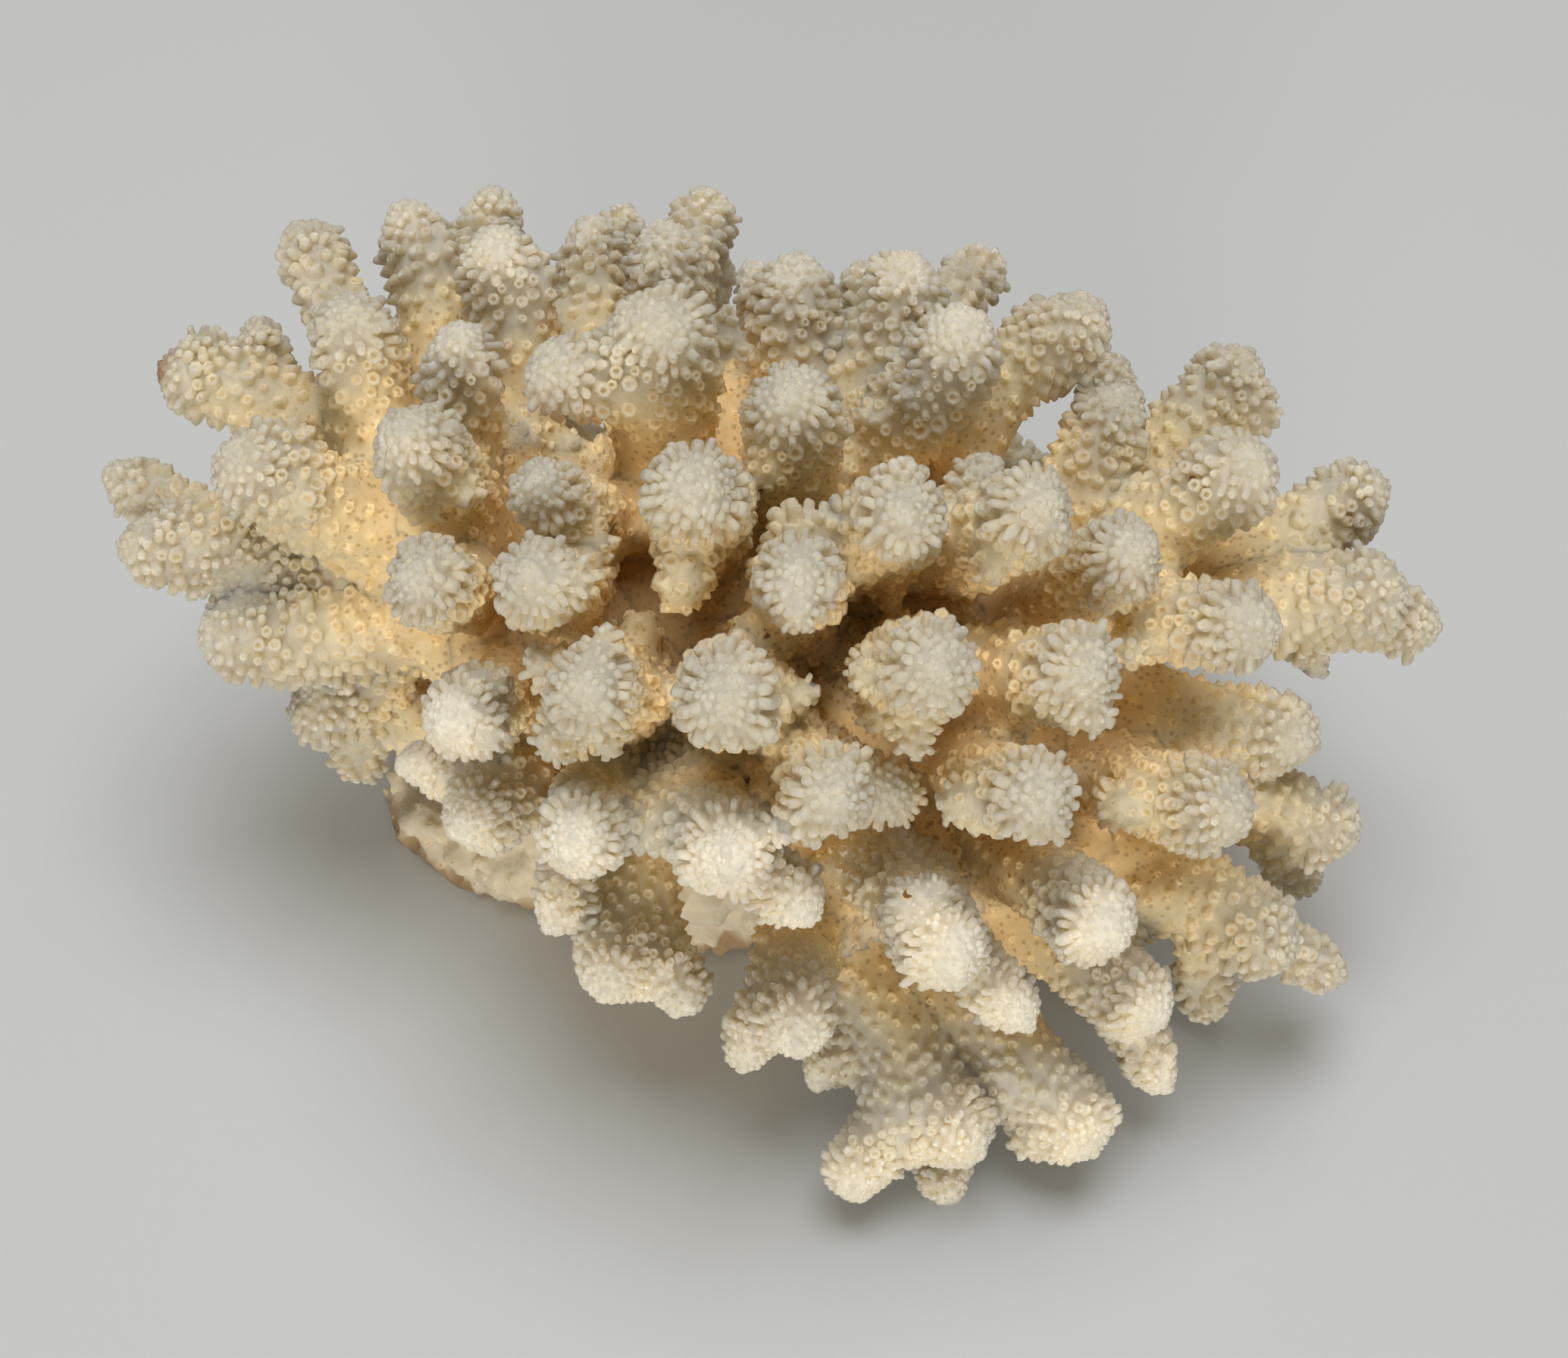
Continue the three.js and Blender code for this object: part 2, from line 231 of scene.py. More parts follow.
@dataclass(frozen=True)
class Bud:
    """A short side knob: where it leaves a finger and ends in the picture, in pixels.

    Its radius, how much deeper it ends than it starts, how far from white its end is, as a way from a
    tip, and how far its base is sunk are in millimetres. A station is a share of its length and of its
    radius. Its tail is how far it runs on inside the finger, as a share of its length.
    """

    base: tuple[float, float]
    end: tuple[float, float]
    radius: float
    sink: float
    dull: float
    sunk: float = 1.2
    tail: float = 0.6
    spokes: int = 9
    stations: tuple[tuple[float, float], ...] = (
        (-0.5, 0.75),
        (0.0, 1.12),
        (0.35, 1.06),
        (0.7, 1.0),
        (0.88, 0.78),
        (0.97, 0.42),
    )

    def ends(self, eye: Eye, tree: BVHTree) -> tuple[Vector, Vector] | None:
        """Its two ends in space.

        Args:
            eye: What its places in the picture are seen from.
            tree: The skin it stands on.

        Returns:
            The ends, or None where its base shows nothing to stand on.
        """
        depth = eye.depth(tree, *self.base)
        if depth is None:
            return None
        start = eye.place() + eye.towards(*self.base) * (depth + self.sunk * MM)
        return start, eye.place() + eye.towards(*self.end) * (depth + self.sink * MM)

    def mesh(self, start: Vector, end: Vector) -> tuple[Array, Array]:
        """Its points and four-cornered faces.

        Args:
            start: The middle of its base, a little under the skin.
            end: Its outer end.

        Returns:
            The points and the faces.
        """
        axis = end - start
        side = axis.orthogonal().normalized()
        across = axis.cross(side).normalized()
        turn = [2 * math.pi * k / self.spokes for k in range(self.spokes)]
        points = [start - axis * self.tail]
        for along, wide in self.stations:
            ring = [side * math.cos(a) + across * math.sin(a) for a in turn]
            points += [start + axis * along + way * (wide * self.radius * MM) for way in ring]
        points.append(end)
        here = np.arange(self.spokes)
        after = (here + 1) % self.spokes
        faces = [np.stack([after + 1, here + 1, here * 0, here * 0], axis=1)]
        for k in range(len(self.stations) - 1):
            low, high = 1 + k * self.spokes, 1 + (k + 1) * self.spokes
            faces.append(np.stack([here + low, after + low, after + high, here + high], axis=1))
        top = 1 + (len(self.stations) - 1) * self.spokes
        last = here * 0 + len(points) - 1
        faces.append(np.stack([here + top, after + top, last, last], axis=1))
        return np.array([tuple(p) for p in points]), np.concatenate(faces)


BUDS = (
    Bud((770, 690), (805, 742), 1.9, 1, 7),
    Bud((740, 770), (785, 762), 2.7, 3, 11),
    Bud((735, 885), (688, 866), 2.1, 1.5, 5),
    Bud((735, 970), (722, 1002), 2.4, 1.5, 4),
    Bud((795, 965), (812, 1000), 1.8, 1.5, 4),
    Bud((790, 860), (806, 826), 1.8, 1.5, 5),
    Bud((1030, 910), (1080, 915), 2.0, 1, 6),
    Bud((910, 965), (878, 986), 1.9, 1.5, 5),
    Bud((1160, 885), (1118, 888), 2.4, 1, 5),
    Bud((1165, 930), (1140, 962), 2.2, 2, 6),
    Bud((1205, 950), (1208, 1004), 2.2, 1.5, 5),
    Bud((1430, 940), (1468, 957), 2.2, 1, 5),
    Bud((1290, 1060), (1236, 1055), 2.4, 1, 5),
    Bud((1500, 1060), (1447, 1065), 2.9, 1, 5),
    Bud((630, 905), (675, 897), 2.5, 3, 9),
    Bud((590, 640), (635, 662), 2.3, 3, 8),
    Bud((1015, 600), (1015, 644), 2.1, 2, 9),
    Bud((1150, 1045), (1208, 1056), 3.3, 5, 13),
    Bud((1060, 1080), (1028, 1086), 2.5, 4, 12),
    Bud((1210, 1210), (1203, 1168), 3.3, -2, 4),
    Bud((1220, 1190), (1250, 1164), 1.9, -2, 4),
    Bud((1100, 1148), (1196, 1124), 2.7, -7, 4),
    Bud((1045, 790), (1062, 834), 2.0, 2, 5),
    Bud((690, 592), (690, 566), 2.9, -3, 12),
    Bud((755, 595), (755, 580), 2.1, -3, 12),
    Bud((845, 850), (845, 824), 2.9, -4, 12),
    Bud((1000, 850), (1000, 834), 3.6, -4, 13),
    Bud((1105, 858), (1105, 840), 3.2, -4, 11),
    Bud((1150, 545), (1156, 558), 2.1, -3, 8),
    Bud((1200, 525), (1200, 527), 2.1, -2.5, 4),
    Bud((1490, 856), (1490, 860), 2.2, -3, 9),
    Bud((670, 1010), (670, 1002), 2.0, -3, 11),
    Bud((640, 965), (668, 966), 2.4, 2, 11),
    Bud((1420, 1022), (1420, 1018), 2.0, -2.5, 12),
    Bud((1310, 740), (1308, 773), 2.0, 1.5, 7),
    Bud((1300, 845), (1270, 850), 2.2, 3, 10),
    Bud((532, 1040), (516, 1045), 3.0, 2, 16),
    Bud((548, 1072), (536, 1080), 3.2, 2, 17),
    Bud((585, 1100), (575, 1110), 3.0, 2, 18),
    Bud((640, 1125), (632, 1134), 3.0, 2, 18),
    Bud((668, 835), (560, 892), 4.2, 1, 26),
    Bud((1490, 1140), (1395, 1100), 4.5, 2, 28),
    Bud((1535, 1185), (1465, 1210), 4.5, 2, 28),
)

BORES = ((1198, 1180), (990, 1030), (835, 1104), (1010, 836), (1574, 634), (1148, 994))


@dataclass
class Skin:
    """The rounded union of all solids, and how the colony grew along it.

    Reach is the way along the skin to the nearest tip. Tone is how far from white a point is, counted
    in millimetres of reach: shelter adds to it, partly as the hidden skeleton's less bleached tan and
    partly as painted shade and painted bounce light where the colony hides the sky; and it is lowered
    near some fingers' tips, which on the lower fingers is painted light.
    """

    cell: float = 1.25 * MM
    closing: float = 0.9 * MM
    rounding: int = 9
    bud_rounding: int = 2
    easing: float = 0.5
    tip_rings: int = 4
    tip_bulge: float = 0.5 * MM
    knob_bulge: float = 1.15 * MM
    bud_patch: float = 3.0 * MM
    growth_easing: int = 6
    swell: float = 0.3 * MM
    swell_size: float = 6.0 * MM
    rubble: float = 4.4 * MM
    rubble_size: float = 4.5 * MM
    rubble_rise: float = 2.0 * MM
    rubble_height: float = 38 * MM
    rubble_grain: float = 0.6
    rubble_octaves: tuple[float, float, int] = (0.9, 2.0, 4)
    still_below: float = 1.5 * MM
    sky_ways: int = 10
    sky_range: float = 25 * MM
    sky_easing: int = 6
    # Shelter makes hidden places tan: partly the skeleton's less bleached colour, partly painted shade and
    # painted bounce light.
    dulling_and_painted_shade: float = 20.0
    open_sky: float = 0.42
    finer: str = "lower"
    # Lower and top fingers are made whiter near their tips; on the lower fingers this is painted light.
    off_white: float = 9.0
    whitening_and_painted_light: tuple[tuple[str, float], ...] = (("lower", 9.0), ("top", 4.0))
    white_to: float = 24 * MM
    white_fade: float = 11 * MM
    skirt: float = 0.7 * MM
    inner_tone: float = 49.0
    rim_samples: int = 20
    apex_depths: tuple[float, ...] = (0.0, 1.5, 3.0, 5.0, 7.0)
    apex_steps: tuple[float, ...] = (2.0, 4.0, 6.0)
    apex_shares: tuple[float, ...] = (0.35, 0.7, 1.0)
    stained: str = "left_finger_1"
    stain_size: float = 4.0 * MM
    stain_depth: float = 0.8
    eye: Eye = Eye()
    names: list[str] = field(default_factory=list)
    places: Array = field(init=False)
    faces: Array = field(init=False)
    normals: Array = field(init=False)
    owner: Array = field(init=False)
    reach: Array = field(init=False)
    growth: Array = field(init=False)
    tone: Array = field(init=False)
    fine: Array = field(init=False)
    tips: Array = field(init=False)
    stain: Array = field(init=False)
    tree: BVHTree = field(init=False)
    buds: list[tuple[Array, Array]] = field(default_factory=list)
    bud_ends: list[tuple[Vector, float]] = field(default_factory=list)

    def build(self, nodes: dict[str, bpy.types.Object]) -> None:
        """Makes the skin and works out its fields.

        Args:
            nodes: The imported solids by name.
        """
        self.names = sorted(nodes)
        solids = [self._welded(nodes[name].data) for name in self.names]
        fours = [np.concatenate([corners, corners[:, 2:]], axis=1) for _, corners in solids]
        grown = [p + self.closing * corner_normals(p, four) for (p, _), four in zip(solids, fours)]
        self._remesh(list(zip(grown, fours)))
        self._round(self.rounding)
        self._bud()
        self._remesh([(self.places, self.faces), *self.buds])
        self._round(self.bud_rounding)
        self._claim(solids)
        self._grow()
        self._roughen()
        self._mark()
        self.tree = BVHTree.FromPolygons(self.places.tolist(), self.faces.tolist())
        self.fine = np.array([name.startswith(self.finer) for name in self.names])[self.owner]
        self._colour()

    def _colour(self) -> None:
        """Works out the tone from the reach, the shelter and the whitening."""
        # Painted shade and bounce light, partly real colour: tone rises where the colony hides the sky.
        self.tone = np.maximum(self.reach / MM + self.dulling_and_painted_shade * (self._sheltered() - self.open_sky), 0.0)
        # Whiter near the tips of the lower and top fingers: painted light on the lower ones.
        whitening_and_painted_light = dict(self.whitening_and_painted_light)
        lift = np.array([whitening_and_painted_light.get(name.split("_")[0], 0.0) for name in self.names])[self.owner]
        self.tone += self.off_white - lift * np.clip((self.white_to - self.reach) / self.white_fade, 0, 1)

    @staticmethod
    def _welded(mesh: bpy.types.Mesh) -> tuple[Array, Array]:
        """A solid's points and triangles, with points that coincide made one.

        Args:
            mesh: The solid's mesh, which stays as it is.

        Returns:
            The points, and three point numbers a triangle.
        """
        places = np.empty(len(mesh.vertices) * 3)
        mesh.vertices.foreach_get("co", places)
        mesh.calc_loop_triangles()
        triangles = np.empty(len(mesh.loop_triangles) * 3, np.int32)
        mesh.loop_triangles.foreach_get("vertices", triangles)
        places = places.reshape(-1, 3)
        grid = np.round(places / WELD)
        _, first, again = np.unique(grid, axis=0, return_index=True, return_inverse=True)
        return places[first], again.reshape(-1)[triangles].reshape(-1, 3)

    def _bud(self) -> None:
        """Makes the side knobs and notes where each ends."""
        tree = BVHTree.FromPolygons(self.places.tolist(), self.faces.tolist())
        for bud in BUDS:
            ends = bud.ends(self.eye, tree)
            if ends is not None:
                self.buds.append(bud.mesh(*ends))
                self.bud_ends.append((ends[1], bud.dull * MM))
        LOG.info("buds: %d of %d", len(self.buds), len(BUDS))

    def _remesh(self, solids: list[tuple[Array, Array]]) -> None:
        """Joins closed forms into one mesh of even cells.

        Args:
            solids: The points and the four-cornered faces of each.
        """
        starts = np.cumsum([0] + [len(points) for points, _ in solids[:-1]])
        places = np.concatenate([points for points, _ in solids])
        faces = np.concatenate([corners + start for (_, corners), start in zip(solids, starts)])
        corners = [row[:3] if row[2] == row[3] else row for row in faces.tolist()]
        rough = bpy.data.meshes.new("colony_rough")
        rough.from_pydata(places.tolist(), [], corners)
        holder = bpy.data.objects.new("colony_rough", rough)
        bpy.context.scene.collection.objects.link(holder)
        union = holder.modifiers.new("union", "REMESH")
        union.mode = "VOXEL"
        union.voxel_size = self.cell
        even = holder.evaluated_get(bpy.context.evaluated_depsgraph_get()).to_mesh()
        self.places = np.empty(len(even.vertices) * 3)
        even.vertices.foreach_get("co", self.places)
        self.places = self.places.reshape(-1, 3)
        corners = np.empty(len(even.loops), np.int32)
        even.loops.foreach_get("vertex_index", corners)
        sizes = np.empty(len(even.polygons), np.int32)
        even.polygons.foreach_get("loop_total", sizes)
        starts = np.concatenate([[0], np.cumsum(sizes)[:-1]])
        self.faces = np.stack([corners[starts + np.minimum(k, sizes - 1)] for k in range(4)], axis=1)
        bpy.data.objects.remove(holder)
        bpy.data.meshes.remove(rough)

    def _links(self, diagonals: bool) -> Array:
        """Pairs of neighbouring points.

        Args:
            diagonals: Whether points across a face are neighbours too.

        Returns:
            Two point numbers a row, each pair once.
        """
        pairs = [self.faces[:, [k, (k + 1) % 4]] for k in range(4)]
        if diagonals:
            pairs += [self.faces[:, [0, 2]], self.faces[:, [1, 3]]]
        both = np.sort(np.concatenate(pairs), axis=1)
        both = np.unique(both, axis=0)
        return both[both[:, 0] != both[:, 1]]

    def _mean(self, values: Array, links: Array) -> Array:
        """The mean of each point's neighbours.

        Args:
            values: Three numbers for each point.
            links: Pairs of neighbouring points.

        Returns:
            The means, a row for each point.
        """
        count = len(self.places)
        left, right = links.T
        total = gathered(left, values[right], count) + gathered(right, values[left], count)
        return total / np.maximum(np.bincount(links.ravel(), minlength=count), 1)[:, None]

    def _round(self, rounds: int) -> None:
        """Eases the facets and knobs out of the skin, and keeps its foot flat on the surface.

        Args:
            rounds: How many times.
        """
        links = self._links(diagonals=False)
        grounded = self.places[:, 2] < 0.5 * self.cell
        for _ in range(rounds):
            self.places += self.easing * (self._mean(self.places, links) - self.places)
            self.places[grounded, 2] = 0.0
        self.places[:, 2] = np.maximum(self.places[:, 2], 0.0)
        self.normals = corner_normals(self.places, self.faces)

    def _claim(self, solids: list[tuple[Array, Array]]) -> None:
        """Gives each point of the skin to the nearest solid.

        Args:
            solids: The points and the triangles of each.
        """
        starts = np.cumsum([0] + [len(points) for points, _ in solids[:-1]])
        places = np.concatenate([points for points, _ in solids])
        triangles = np.concatenate([corners + start for (_, corners), start in zip(solids, starts)])
        solid_of = np.repeat(np.arange(len(solids)), [len(corners) for _, corners in solids])
        tree = BVHTree.FromPolygons(places.tolist(), triangles.tolist())
        self.owner = np.array([solid_of[tree.find_nearest(p)[2]] for p in self.places.tolist()])

    def _spread(self, seeds: Array, starts: Array, links: Array) -> Array:
        """The shortest way along the skin from any seed to every point.

        Args:
            seeds: The points to start from.
            starts: The length that each of them starts with.
            links: Pairs of neighbouring points.

        Returns:
            A length at each point, infinite where no way leads.
        """
        count = len(self.places)
        both = np.concatenate([links, links[:, ::-1]])
        both = both[np.argsort(both[:, 0], kind="stable")]
        first = np.searchsorted(both[:, 0], np.arange(count + 1)).tolist()
        lengths = np.linalg.norm(self.places[both[:, 0]] - self.places[both[:, 1]], axis=1).tolist()
        ends = both[:, 1].tolist()
        way = [math.inf] * count
        heap = list(zip(starts.tolist(), seeds.tolist()))
        for start, seed in heap:
            way[seed] = start
        heapq.heapify(heap)
        while heap:
            so_far, here = heapq.heappop(heap)
            if so_far > way[here]:
                continue
            for k in range(first[here], first[here + 1]):
                there = so_far + lengths[k]
                if there < way[ends[k]]:
                    way[ends[k]] = there
                    heapq.heappush(heap, (there, ends[k]))
        return np.array(way)

    def _grow(self) -> None:
        """Finds the finger tips, every point's way to the nearest one, and the direction it grew in."""
        foot = self.names.index(FOOT)
        lowest = np.flatnonzero((self.owner == foot) & (self.places[:, 2] == 0.0))
        rise = self._spread(lowest, np.zeros(len(lowest)), self._links(diagonals=True))
        joined = np.isfinite(rise)
        self._keep(joined)
        links = self._links(diagonals=True)
        self.tips = self._ends(rise[joined], links)
        LOG.info("tips: %d", len(self.tips))
        starts = np.zeros(len(self.tips))
        for end, dull in self.bud_ends:
            near = np.linalg.norm(self.places[self.tips] - np.array(end), axis=1) < self.bud_patch
            starts[near] = np.maximum(starts[near], dull)
        self.reach = self._spread(self.tips, starts, links)
        left, right = links.T
        step = self.places[right] - self.places[left]
        slope = (self.reach[left] - self.reach[right]) / np.maximum((step**2).sum(1), TINY)
        pull = step * slope[:, None]
        growth = unit(gathered(left, pull, len(self.places)) + gathered(right, pull, len(self.places)))
        for _ in range(self.growth_easing):
            growth = self._mean(growth, links) + growth
            growth -= self.normals * (growth * self.normals).sum(1, keepdims=True)
            growth = unit(growth)
        self.growth = growth

    def _ends(self, rise: Array, links: Array) -> Array:
        """The points where fingers and knobs end. The foot has none but its knobs'.

        Args:
            rise: Every point's way from the ground along the skin.
            links: Pairs of neighbouring points.

        Returns:
            The points' numbers.
        """
        foot = self.names.index(FOOT)
        middle = self.places
        for _ in range(self.tip_rings):
            middle = self._mean(middle, links)
        bulge = ((self.places - middle) * self.normals).sum(1)
        away = np.linalg.norm(self.places - self.places.mean(0), axis=1)
        ends = self._peaks(rise, links) & (bulge > self.tip_bulge)
        ends |= self._peaks(away, links) & (bulge > self.tip_bulge)
        ends |= self._peaks(bulge, links) & (bulge > self.knob_bulge)
        for index in set(range(len(self.names))) - {foot}:
            mine = np.flatnonzero(self.owner == index)
            ends[mine[np.argmax(rise[mine])]] = True
        knobs = np.array([tuple(end) for end, _ in self.bud_ends])
        for knob in knobs:
            ends[np.argmin(np.linalg.norm(self.places - knob, axis=1))] = True
        tips = np.flatnonzero(ends)
        at_knob = [np.linalg.norm(knobs - p, axis=1).min() < self.bud_patch for p in self.places[tips]]
        return tips[(self.owner[tips] != foot) | np.array(at_knob)]

    def _peaks(self, values: Array, links: Array) -> Array:
        """Whether each point is the highest of those some rings around it.

        Args:
            values: What is high or low at each point.
            links: Pairs of neighbouring points.

        Returns:
            True or False at each point.
        """
        highest = values
        for _ in range(self.tip_rings):
            wider = highest.copy()
            np.maximum.at(wider, links[:, 0], highest[links[:, 1]])
            np.maximum.at(wider, links[:, 1], highest[links[:, 0]])
            highest = wider
        return values >= highest

    def _keep(self, wanted: Array) -> None:
        """Drops the points, and the faces on them, that aren't wanted.

        Args:
            wanted: True or False at each point.
        """
        number = np.cumsum(wanted) - 1
        self.faces = number[self.faces[wanted[self.faces].all(axis=1)]]
        self.places, self.normals, self.owner = self.places[wanted], self.normals[wanted], self.owner[wanted]

    def _roughen(self) -> None:
        """Swells the skin unevenly, most of all on the foot, which is weathered rubble."""
        foot = self.names.index(FOOT)
        low = np.clip(2.0 - 2.0 * self.places[:, 2] / self.rubble_height, 0, 1) * (self.owner == foot)
        free = np.clip(self.places[:, 2] / self.still_below, 0, 1)
        points = [Vector(p) for p in self.places.tolist()]
        rough = np.array([noise.fractal(p / self.rubble_size, *self.rubble_octaves) for p in points])
        lumps = np.array([0.5 - noise.voronoi(p / self.rubble_size)[0][0] for p in points])
        soft = np.array([noise.noise(p / self.swell_size) for p in points])
        lift = self.swell * soft + self.rubble * low * (self.rubble_grain * rough + lumps)
        self.places += self.normals * (np.minimum(lift, self.rubble_rise) * free)[:, None]
        self.normals = corner_normals(self.places, self.faces)

    def _sheltered(self) -> Array:
        """The share of the sky over each point that the colony itself hides.

        Returns:
            The share at each point, evened out along the skin.
        """
        turn = np.arange(self.sky_ways) * math.pi * (3 - math.sqrt(5))
        share = (np.arange(self.sky_ways) + 0.5) / self.sky_ways
        flat, high = np.sqrt(share), np.sqrt(1 - share)
        side = unit(np.cross(self.normals, self.growth))
        ways = (
            self.growth[:, None] * (flat * np.cos(turn))[None, :, None]
            + side[:, None] * (flat * np.sin(turn))[None, :, None]
            + self.normals[:, None] * high[None, :, None]
        ).tolist()
        starts = (self.places + self.normals * self.skirt).tolist()
        cast, far = self.tree.ray_cast, self.sky_range
        hidden = [
            sum(cast(start, way, far)[0] is not None for way in some) for start, some in zip(starts, ways)
        ]
        even = np.repeat(np.array(hidden)[:, None] / self.sky_ways, 3, axis=1)
        links = self._links(diagonals=True)
        for _ in range(self.sky_easing):
            even = self._mean(even, links)
        return even[:, 0]

    def _mark(self) -> None:
        """Finds the broken, browned end of one finger at the colony's far side."""
        mine = np.flatnonzero(self.owner[self.tips] == self.names.index(self.stained))
        ends = self.places[self.tips[mine]]
        end = ends[np.argmin(ends[:, 0])]
        away = np.linalg.norm(self.places - end, axis=1)
        self.stain = self.stain_depth * np.clip(1.5 - 1.5 * away / self.stain_size, 0, 1)

    def _apex(self, rim: Array, inward: Array) -> Array:
        """A point well inside the colony that a rim can be closed to.

        Args:
            rim: The rim's points, already a little under the skin.
            inward: The way into the colony at each of them.

        Returns:
            The point whose lines to the rim stay deepest.
        """
        every = max(1, len(rim) // self.rim_samples)
        some, ways = rim[::every], inward[::every]
        middle, down = rim.mean(0), unit(inward.mean(0))
        tried = [middle + down * d * MM for d in self.apex_depths]
        tried += [p + w * d * MM for p, w in zip(some[::2], ways[::2]) for d in self.apex_steps]
        best, deepest = middle, -math.inf
        for apex in tried:
            least = math.inf
            for share in self.apex_shares:
                for point in (some + (apex - some) * share).tolist():
                    near, normal, _, _ = self.tree.find_nearest(point)
                    least = min(least, (near - Vector(point)).dot(normal))
                if least < deepest:
                    break
            if least > deepest:
                best, deepest = apex, least
        return best

    @staticmethod
    def _rims(faces: Array, count: int) -> list[Array]:
        """The open rims of a patch of faces.

        Args:
            faces: Four point numbers a face.
            count: How many points there are.

        Returns:
            The sides of each rim, two point numbers a side.
        """
        sides = np.concatenate([faces[:, [k, (k + 1) % 4]] for k in range(4)])
        sides = sides[sides[:, 0] != sides[:, 1]]
        key = sides[:, 0] * count + sides[:, 1]
        sides = sides[~np.isin(key, sides[:, 1] * count + sides[:, 0])]
        group = np.arange(count)
        while True:
            lowest = np.minimum(group[sides[:, 0]], group[sides[:, 1]])
            before = group.copy()
            np.minimum.at(group, sides[:, 0], lowest)
            np.minimum.at(group, sides[:, 1], lowest)
            if (group == before).all():
                break
        rim_of = group[sides[:, 0]]
        return [sides[rim_of == rim] for rim in np.unique(rim_of)]

    def patch(self, index: int) -> Shell:
        """One solid's share of the skin, closed on its inner side.

        Args:
            index: Which solid.

        Returns:
            The closed shell.
        """
        mine = self.faces[self.owner[self.faces[:, 0]] == index]
        used, again = np.unique(mine, return_inverse=True)
        faces = again.reshape(-1, 4)
        places, normals = self.places[used], self.normals[used]
        parts, inner, inner_normals = [faces], [places], [normals]
        count = len(used)
        for edge in self._rims(faces, len(used)):
            ring, again = np.unique(edge, return_inverse=True)
            under = again.reshape(-1, 2) + count
            sunk = places[ring] - normals[ring] * self.skirt
            top = np.full(len(edge), count + len(ring))
            parts.append(np.stack([edge[:, 1], edge[:, 0], under[:, 0], under[:, 1]], axis=1))
            parts.append(np.stack([under[:, 1], under[:, 0], top, top], axis=1))
            inner += [sunk, self._apex(sunk, -normals[ring])[None]]
            inner_normals += [-normals[ring], np.array([[0.0, 0.0, -1.0]])]
            count += len(ring) + 1
        extra = np.zeros(count - len(used))
        traits = {
            Trait.TONE: np.concatenate([self.tone[used], extra + self.inner_tone]),
            Trait.LIP: np.zeros(count),
            Trait.PIT: np.zeros(count),
            Trait.STAIN: np.concatenate([self.stain[used], extra]),
        }
        return Shell(np.concatenate(inner), np.concatenate(parts), np.concatenate(inner_normals), traits)


@dataclass(frozen=True)
class TubeForm:
    """The form of one corallite: rings up its wall, over its lip and into its pit.

    Each ring gives its height as a share of the length, its radius as a share of the tube's, and how
    much of lip and of pit there is at it. The floor is the height of the pit's middle, and the taproot
    how deep the buried end's middle is, as a share of the root.
    """

    sides: int
    rings: tuple[tuple[float, float, float, float], ...]
    floor: float
    floor_lip: float = 0.3
    floor_pit: float = 1.0
    taproot: float = 1.2

    def build(self, place: Array, axis: Array, growth: Array, size: Array, root: float) -> Shell:
        """Builds closed tubes with a rounded lip and a pit.

        Args:
            place: Where each tube stands.
            axis: The way it points.
            growth: The way to the finger's tip, which its mouth is turned to.
            size: Its length, its radius, and how far its mouth is turned, as a share of its radius.
            root: How deep it is sunk.

        Returns:
            All of them in one shell.
        """
        count, each = len(place), len(self.rings) * self.sides
        length, radius, shear = size
        angle = (np.arange(self.sides) + 0.5) / self.sides * 2 * math.pi
        ahead = unit(growth - axis * (growth * axis).sum(1, keepdims=True))
        beside = np.cross(axis, ahead)
        spoke = ahead[:, None] * np.cos(angle)[None, :, None] + beside[:, None] * np.sin(angle)[None, :, None]
        body = []
        for up, wide, _, _ in self.rings:
            rise = np.where(up > 0, up * length, -root)[:, None] * np.ones(self.sides)
            rise = rise - up * wide * (shear * radius)[:, None] * np.cos(angle)[None]
            out = spoke * (wide * radius)[:, None, None]
            body.append(place[:, None] + axis[:, None] * rise[..., None] + out)
        low = place - axis * (self.taproot * root)
        high = place + axis * (self.floor * length)[:, None]
        body = np.stack(body, 1).reshape(count, each, 3)
        places = np.concatenate([body, low[:, None], high[:, None]], axis=1).reshape(-1, 3)
        faces = (self._faces()[None] + (np.arange(count) * (each + 2))[:, None, None]).reshape(-1, 4)
        lips = np.append(np.repeat([ring[2] for ring in self.rings], self.sides), (0.0, self.floor_lip))
        pits = np.append(np.repeat([ring[3] for ring in self.rings], self.sides), (0.0, self.floor_pit))
        traits = {Trait.LIP: np.tile(lips, count), Trait.PIT: np.tile(pits, count)}
        return Shell(places, faces, corner_normals(places, faces), traits)

    def _faces(self) -> Array:
        """The faces of one tube: its bands, its buried end and the floor of its pit.

        Returns:
            Four point numbers a face.
        """
        here = np.arange(self.sides)
        after = (here + 1) % self.sides
        starts = [k * self.sides for k in range(len(self.rings))]
        low = np.full(self.sides, len(self.rings) * self.sides)
        high = low + 1
        parts = [(here + a, after + a, after + b, here + b) for a, b in zip(starts, starts[1:])]
        parts += [(after, here, low, low), (here + starts[-1], after + starts[-1], high, high)]
        return np.concatenate([np.stack(part, axis=1) for part in parts])


